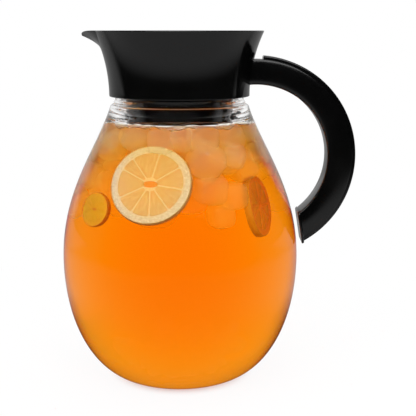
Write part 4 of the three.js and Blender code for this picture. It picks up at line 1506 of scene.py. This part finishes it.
def make_carrier():
    disc = turned(filleted([
        (0, flange_under + 0.2), (flange_radius, flange_under + 0.2), (flange_radius, lid_top, 0.5),
        (0, lid_top),
    ]), 144)
    back, *sides = behind_lid(deck_gap, flange_under - 1, lid_top + 1)
    deck = combined(disc, [union(back, *sides)], "INTERSECT")
    room_half = barrel_half_length + running_gap
    room_radius = barrel_radius + running_gap
    room = hinge_rod(room_radius, -room_half, room_half, 0.01)
    slot = block(
        (deck_x - 1, -room_half, hinge_z - barrel_radius - running_gap),
        (hinge_x + barrel_radius + running_gap, room_half, lid_top + 1),
    )
    mesh = cut(union(cut(carrier_ring(), *carrier_openings()), deck), room, slot)
    left = hinge_rod(barrel_radius, -cheek_outer, cheek_width - cheek_outer)
    right = hinge_rod(barrel_radius, cheek_outer - cheek_width, cheek_outer)
    pin_hole = hinge_rod(pin_radius + seat_gap / 2, -cheek_outer - 1, cheek_outer + 1)
    mesh = cut(union(mesh, left, right), pin_hole)
    settle("carrier_ring", mesh, "insert", insert_finish, ["basket_carrier"])


def make_carrier_seal():
    foot = shelf_top + seat_gap
    inner = flange_radius - carrier_seal_width - seat_gap
    end = 180 - math.degrees(math.asin(spout_gate_half / inner))
    outline = ring_outline(inner, inner + carrier_seal_width, foot, foot + carrier_seal_thickness, 0.35)
    mesh = part_turned(outline, -end, end, 120)
    settle("carrier_rubber", mesh, "insert", seal_finish, ["carrier_seal"], 38)


def make_hinge_pin():
    mesh = hinge_rod(pin_radius, -cheek_outer, cheek_outer, 0.3)
    settle("lid_pivot_pin", mesh, "insert", steel_finish, ["lid_hinge_pin"], 38)


def short_of_hinge(angle, reach):
    """A reach from the axis, no further than the lid's straight back edge at an angle."""
    return min(reach, lid_back_x / math.cos(angle)) if math.cos(angle) > 0.05 else reach


def lid_angles():
    """Angles round the lid, with one at each end of its straight back edge."""
    corner = math.acos(lid_back_x / lid_radius)
    stops = [-corner, corner, math.pi - spout_half_angle, math.pi + spout_half_angle, 2 * math.pi - corner]
    return np.concatenate([
        np.linspace(start, end, steps, endpoint=False)
        for start, end, steps in zip(stops, stops[1:], (40, 60, 70, 60))
    ])


def lid_outline_at(angle):
    edge, under_edge = (
        short_of_hinge(angle, lid_radius + spout_out(angle, height - spout_floor))
        for height in (lid_top, lid_under)
    )
    skirt_foot = lid_under - lid_skirt_drop
    skirt = short_of_hinge(angle, radius_at(collar_side, skirt_foot) - collar_wall - running_gap)
    skirt_inner = skirt - lid_skirt_wall
    well_floor = lid_top - well_depth
    cup = well_radius + lid_plate
    return filleted([
        (0, well_floor), (well_radius, well_floor, well_round), (well_radius, lid_top, 0.6),
        (edge, lid_top, 0.4), (under_edge, lid_under, 0.3), (skirt + 0.01, lid_under, 0.1),
        (skirt, skirt_foot, 0.3), (skirt_inner, skirt_foot, 0.3), (skirt_inner, lid_under, 0.3),
        (cup + 0.2, lid_under, 0.3), (cup, well_floor, 0.8), (well_radius, well_floor - lid_plate, 0.8),
        (0, well_floor - lid_plate),
    ])


def make_lid():
    sides = behind_lid(0, lid_top - well_depth - lid_plate - 1, rim_height)[1:]
    body = cut(turned_at(lid_angles(), lid_outline_at), *sides)
    barrel = hinge_rod(barrel_radius, -barrel_half_length, barrel_half_length, 0.3)
    neck = block(
        (lid_back_x - lid_plate, -barrel_half_length, hinge_z - barrel_neck_height / 2),
        (hinge_x, barrel_half_length, hinge_z + barrel_neck_height / 2),
    )
    pin_hole = hinge_rod(pin_radius + seat_gap / 2, -barrel_half_length - 1, barrel_half_length + 1)
    body = cut(union(body, neck, barrel), pin_hole)
    settle("hinged_lid", body, "lid", collar_finish, ["lid"])


def make_lid_grip():
    foot = lid_top + seat_gap / 3
    half = well_radius + lid_plate + grip_tenon + seat_gap + lid_plate
    rings = []
    for share in np.linspace(-1, 1, 49):
        droop = max(0.0, (abs(share) - grip_level_share) / (1 - grip_level_share)) ** 2
        top = lid_top + grip_proud * (1 - grip_droop * droop)
        shoulder = top - grip_thickness / 4
        wide = grip_width / 2 - 0.4 * max(0.0, (abs(share) - 0.97) / 0.03)
        flat = filleted([
            (-wide, foot, 0.3), (wide, foot, 0.3), (wide, shoulder, 0.5), (wide * 0.5, top, 2.0),
            (-wide * 0.5, top, 2.0), (-wide, shoulder, 0.5),
        ])
        rings.append([(x, share * half, z) for x, z in flat])
    settle("lid_bar_grip", skinned(rings), "lid", handle_finish, ["lid_grip"])


# The brew basket.

def make_basket_frame():
    foot_top = basket_foot + basket_foot_height
    hoop_foot = (basket_foot + basket_ring_foot - hoop_height) / 2
    foot_inner = basket_inner - basket_foot_width
    top, foot, hoop = (
        turned(ring_outline(*ring), 120) for ring in (
            (basket_inner, basket_ring_radius, basket_ring_foot, basket_top),
            (foot_inner, basket_radius, basket_foot, foot_top),
            (basket_inner, basket_radius, hoop_foot, hoop_foot + hoop_height),
        )
    )
    half_rib = math.degrees(rib_width / 2 / basket_radius)
    rib = sector(basket_inner, basket_radius, basket_foot + 1, basket_top - 2, -half_rib, half_rib)
    spoke = block(
        (hub_radius / 2, -rib_width / 2, basket_foot + 0.2),
        (basket_inner - basket_foot_width / 2, rib_width / 2, foot_top - 0.2),
    )
    hub = turned(filleted([
        (0, basket_foot), (hub_radius, basket_foot, 0.5), (hub_radius, foot_top, 0.5), (0, foot_top),
    ]), 48)
    lug_foot = sleeve_foot + lug_rise
    lug = sector(
        basket_ring_radius - basket_ring_wall / 2, basket_ring_radius + lug_depth, lug_foot,
        lug_foot + lug_height, -lug_sweep / 2, lug_sweep / 2,
    )
    repeated = [
        grown(mesh, copies_round_axis, Copies=count)
        for mesh, count in ((rib, basket_ribs), (spoke, spokes), (lug, lugs))
    ]
    mesh = union(top, hoop, foot, hub, *repeated)
    settle("basket_cage", mesh, "basket", insert_finish, ["basket_frame"])


def make_basket_weave():
    foot = basket_foot + basket_foot_height + seat_gap + strand_radius
    height = basket_top - seat_gap - strand_radius - foot
    radius = mesh_radius - 2 * strand_radius
    side = grown(
        bpy.data.meshes.new("empty"), woven_tube, mesh_finish, Radius=radius * MM, Foot=foot * MM,
        Height=height * MM, Uprights=2 * round(math.pi * radius / strand_pitch),
        Hoops=round(height / strand_pitch) + 1, Strand_Radius=strand_radius * MM,
    )
    settle("basket_side_weave", side, "basket", mesh_finish, ["basket_mesh"], 60)
    disc_radius = mesh_radius - 6 * strand_radius
    disc = grown(
        bpy.data.meshes.new("empty"), woven_disc, mesh_finish, Radius=disc_radius * MM,
        Height=foot * MM, Strands=round(2 * disc_radius / strand_pitch), Strand_Radius=strand_radius * MM,
    )
    settle("basket_floor_weave", disc, "basket", mesh_finish, ["basket_floor_mesh"], 60)


make_jug()
make_ice_and_tea()
make_lemon_slice("lemon_slice_front", (-16.5, -55.5, 146.6), -13, 29, 0, front_lemon_radius, fresh_lemon)
make_lemon_slice("lemon_slice_right", (45, -18, 124), 84, 12, 40, 20, steeped_and_shaded_lemon)
make_lemon_slice("lemon_slice_left", (-52, -41, 127.5), -38, 18, 0, 11.5, lemon_end)
make_ring_seal(
    "neck_seal", "neck_gasket", "neck_gasket", neck_bore, neck_radius, gasket_foot, gasket_thickness, 0.5
)
make_collar()
make_handle_shell()
make_handle_cover()
make_handle_end_cap()
make_handle_screw("handle_screw_near", "handle_screw_left", -screw_y)
make_handle_screw("handle_screw_far", "handle_screw_right", screw_y)
make_carrier()
make_carrier_seal()
make_hinge_pin()
make_lid()
make_lid_grip()
make_ring_seal(
    "lid_rubber", "lid_seal", "lid", cone_radius, cone_radius + upstand_width, lid_seal_foot,
    lid_seal_thickness, 0.35,
)
make_basket_frame()
make_basket_weave()


# The studio: a pale table, a white backdrop behind, a dark room in front and soft lamps.

table_glow = 0.93  # the white backdrop's share in how the table looks round the jug
table_in_gloss = 0.42  # how bright the table is in what glossy pieces mirror
table_behind = 0.35  # the same, for the table behind the jug
table_near, table_far, table_side = -1.6, 3.0, 2.2
screened_level = 0.6  # how much of the white backdrop is left beside the jug
diffuse_level = 0.75  # the room's light on matt surfaces
backdrop_level = 0.55  # how bright the backdrop is in what glossy pieces mirror
white = (1, 1, 1, 1)
camera_place = (0.020, -0.640, 0.247)
camera_tilt = 11.1


def beside_screens(tree, aside):
    """The backdrop's strength: full for the camera, less for rays that leave the jug sideways."""
    rays = add(tree, "ShaderNodeLightPath").outputs
    ahead = ramp(tree, calc(tree, "ABSOLUTE", aside), 0.5, 0.85, 1.0, screened_level, "SMOOTHSTEP")
    return calc(tree, "MAXIMUM", ahead, rays["Is Camera Ray"])


def not_yet(tree, depth):
    """1 for a depth of 0, and nothing or less after that."""
    return calc(tree, "SUBTRACT", 1.0, depth)


def sees_white(tree, behind):
    """1 for rays that see the white backdrop: the camera's, and those out of a clear piece that were
    not mirrored on their way, went through the tea, light a piece inside, or leave backwards."""
    rays = add(tree, "ShaderNodeLightPath").outputs
    past_tea = calc(tree, "SUBTRACT", rays["Transmission Depth"], 4.0)
    clear = calc(tree, "MAXIMUM", not_yet(tree, rays["Glossy Depth"]), past_tea)
    lit = calc(tree, "MAXIMUM", clear, rays["Diffuse Depth"])
    through = calc(tree, "MAXIMUM", lit, behind, use_clamp=True)
    passed = calc(tree, "MULTIPLY", through, rays["Is Transmission Ray"])
    return calc(tree, "MAXIMUM", passed, rays["Is Camera Ray"])


def make_floor():
    # A pale, matt table: white to the camera, with a soft shade under the jug that is mostly painted
    # shadow.
    mesh = bpy.data.meshes.new("table")
    corners = [
        (-table_side, table_near, 0), (table_side, table_near, 0), (table_side, table_far, 0),
        (-table_side, table_far, 0),
    ]
    mesh.from_pydata(corners, [], [(0, 1, 2, 3)])
    floor = new_object("table", mesh)
    material, tree = new_material("pale_table")
    tree.nodes.clear()
    rays = add(tree, "ShaderNodeLightPath").outputs
    place = add(tree, "ShaderNodeTexCoord").outputs["Object"]
    away = add(tree, "ShaderNodeVectorMath", {0: place}, operation="LENGTH").outputs["Value"]
    parts = add(tree, "ShaderNodeSeparateXYZ", {0: place}).outputs
    foot = base_radius * MM

    def soft(value, *ends):
        return ramp(tree, value, *ends, "SMOOTHSTEP")

    # Painted reflection, as glossy pieces mirror the table: painted shade round the jug, a brighter
    # ring, dark beyond, and paler behind.
    near_ring = soft(away, 0.11, 0.25, 0.02, table_in_gloss)
    ring = calc(tree, "MULTIPLY", near_ring, soft(away, 0.45, 0.85, 1.0, 0.04))
    mirrored = calc(tree, "MAXIMUM", ring, soft(parts["Y"], 0.1, 0.45, 0.0, table_behind))
    paint = add(tree, "ShaderNodeBsdfDiffuse", {"Color": colour_of("#f4f4f4")})
    sheen = add(tree, "ShaderNodeEmission", {"Color": white, "Strength": mirrored})
    unseen = add(tree, "ShaderNodeMixShader", {0: rays["Is Glossy Ray"], 1: paint, 2: sheen})
    level = beside_screens(tree, calc(tree, "DIVIDE", parts["X"], away))
    seen = add(tree, "ShaderNodeEmission", {"Color": white, "Strength": level})
    # Painted shadow: dark under the jug for every ray, and dimmer round its foot for all but the camera's.
    painted_shade_round_foot = calc(tree, "MAXIMUM", soft(away, foot, 3.8 * foot, 0.4, 1.0), rays["Is Camera Ray"])
    painted_shadow_under_jug = calc(tree, "MULTIPLY", soft(away, 0.9 * foot, 1.5 * foot, 0.2, 1.0), painted_shade_round_foot)
    shaded = calc(tree, "MULTIPLY", painted_shadow_under_jug, soft(away, 0.1, 0.34, table_glow, 1.0))
    share = calc(tree, "MULTIPLY", sees_white(tree, soft(parts["Y"], -0.3, -0.05, 0.0, 1.0)), shaded)
    table = add(tree, "ShaderNodeMixShader", {0: share, 1: unseen, 2: seen})
    add(tree, "ShaderNodeOutputMaterial", {"Surface": table})
    mesh.materials.append(material)


def make_world():
    """A white backdrop behind the jug, and a room that is even on matt surfaces and dark in glossy ones."""
    world = bpy.data.worlds.new("studio")
    bpy.context.scene.world = world
    world.use_nodes = True
    tree = world.node_tree
    tree.nodes.clear()
    rays = add(tree, "ShaderNodeLightPath").outputs
    place = add(tree, "ShaderNodeTexCoord").outputs["Generated"]
    parts = add(tree, "ShaderNodeSeparateXYZ", {0: place}).outputs
    backdrop = ramp(tree, parts["Y"], 0.62, 0.76, 0.01, backdrop_level)
    unseen = add(tree, "ShaderNodeMix", {0: rays["Is Glossy Ray"], 2: diffuse_level, 3: backdrop})
    behind = ramp(tree, parts["Y"], -0.3, 0.0)
    level = beside_screens(tree, parts["X"])
    strength = add(tree, "ShaderNodeMix", {0: sees_white(tree, behind), 2: unseen, 3: level})
    background = add(tree, "ShaderNodeBackground", {"Color": white, "Strength": strength})
    add(tree, "ShaderNodeOutputWorld", {"Surface": background})


def make_softbox(name, place, target, width, depth, watts, lights_inside):
    """A soft lamp that the camera doesn't see, and that a clear piece doesn't mirror a second time."""
    lamp = bpy.data.lights.new(name, "AREA")
    lamp.shape = "RECTANGLE"
    lamp.size, lamp.size_y = width, depth
    lamp.energy = watts
    holder = new_object(name, lamp)
    holder.location = place
    holder.rotation_euler = (Vector(target) - Vector(place)).to_track_quat("-Z", "Y").to_euler()
    holder.visible_transmission = lights_inside
    holder.visible_camera = False
    lamp.use_nodes = True
    tree = lamp.node_tree
    rays = add(tree, "ShaderNodeLightPath").outputs
    unmirrored, outside = (not_yet(tree, rays[key]) for key in ("Glossy Depth", "Transmission Depth"))
    direct = calc(tree, "MAXIMUM", unmirrored, outside)
    share = calc(tree, "MAXIMUM", direct, rays["Diffuse Depth"], use_clamp=True)
    tree.links.new(share.outputs[0], tree.nodes["Emission"].inputs["Strength"])


def make_camera():
    """The photograph's camera: in front, at the height of the rim, looking a little down."""
    camera = bpy.data.cameras.new("camera")
    camera.lens = 78.4
    camera.sensor_width = 36
    camera.clip_start, camera.clip_end = 0.01, 20
    holder = new_object("camera", camera)
    holder.location = camera_place
    holder.rotation_euler = (math.radians(90 - camera_tilt), 0, 0)
    bpy.context.scene.camera = holder


make_floor()
make_world()
make_softbox(
    "softbox_in_front", (-0.1, -0.95, 0.95), (0.0, 0.0, 0.16), width=1.5, depth=0.7, watts=10,
    lights_inside=True,
)
make_softbox(
    "softbox_above", (0.05, -0.05, 0.95), (0.0, 0.0, 0.2), width=0.8, depth=0.5, watts=2,
    lights_inside=False,
)
make_camera()

scene = bpy.context.scene
scene.view_settings.view_transform = "Standard"
clear_bounces = 48  # the ways through jug, tea and ice are long
scene.cycles.max_bounces = clear_bounces
scene.cycles.glossy_bounces = clear_bounces
scene.cycles.transmission_bounces = clear_bounces
scene.cycles.diffuse_bounces = 6
scene.cycles.blur_glossy = 0
scene.cycles.transparent_max_bounces = 16
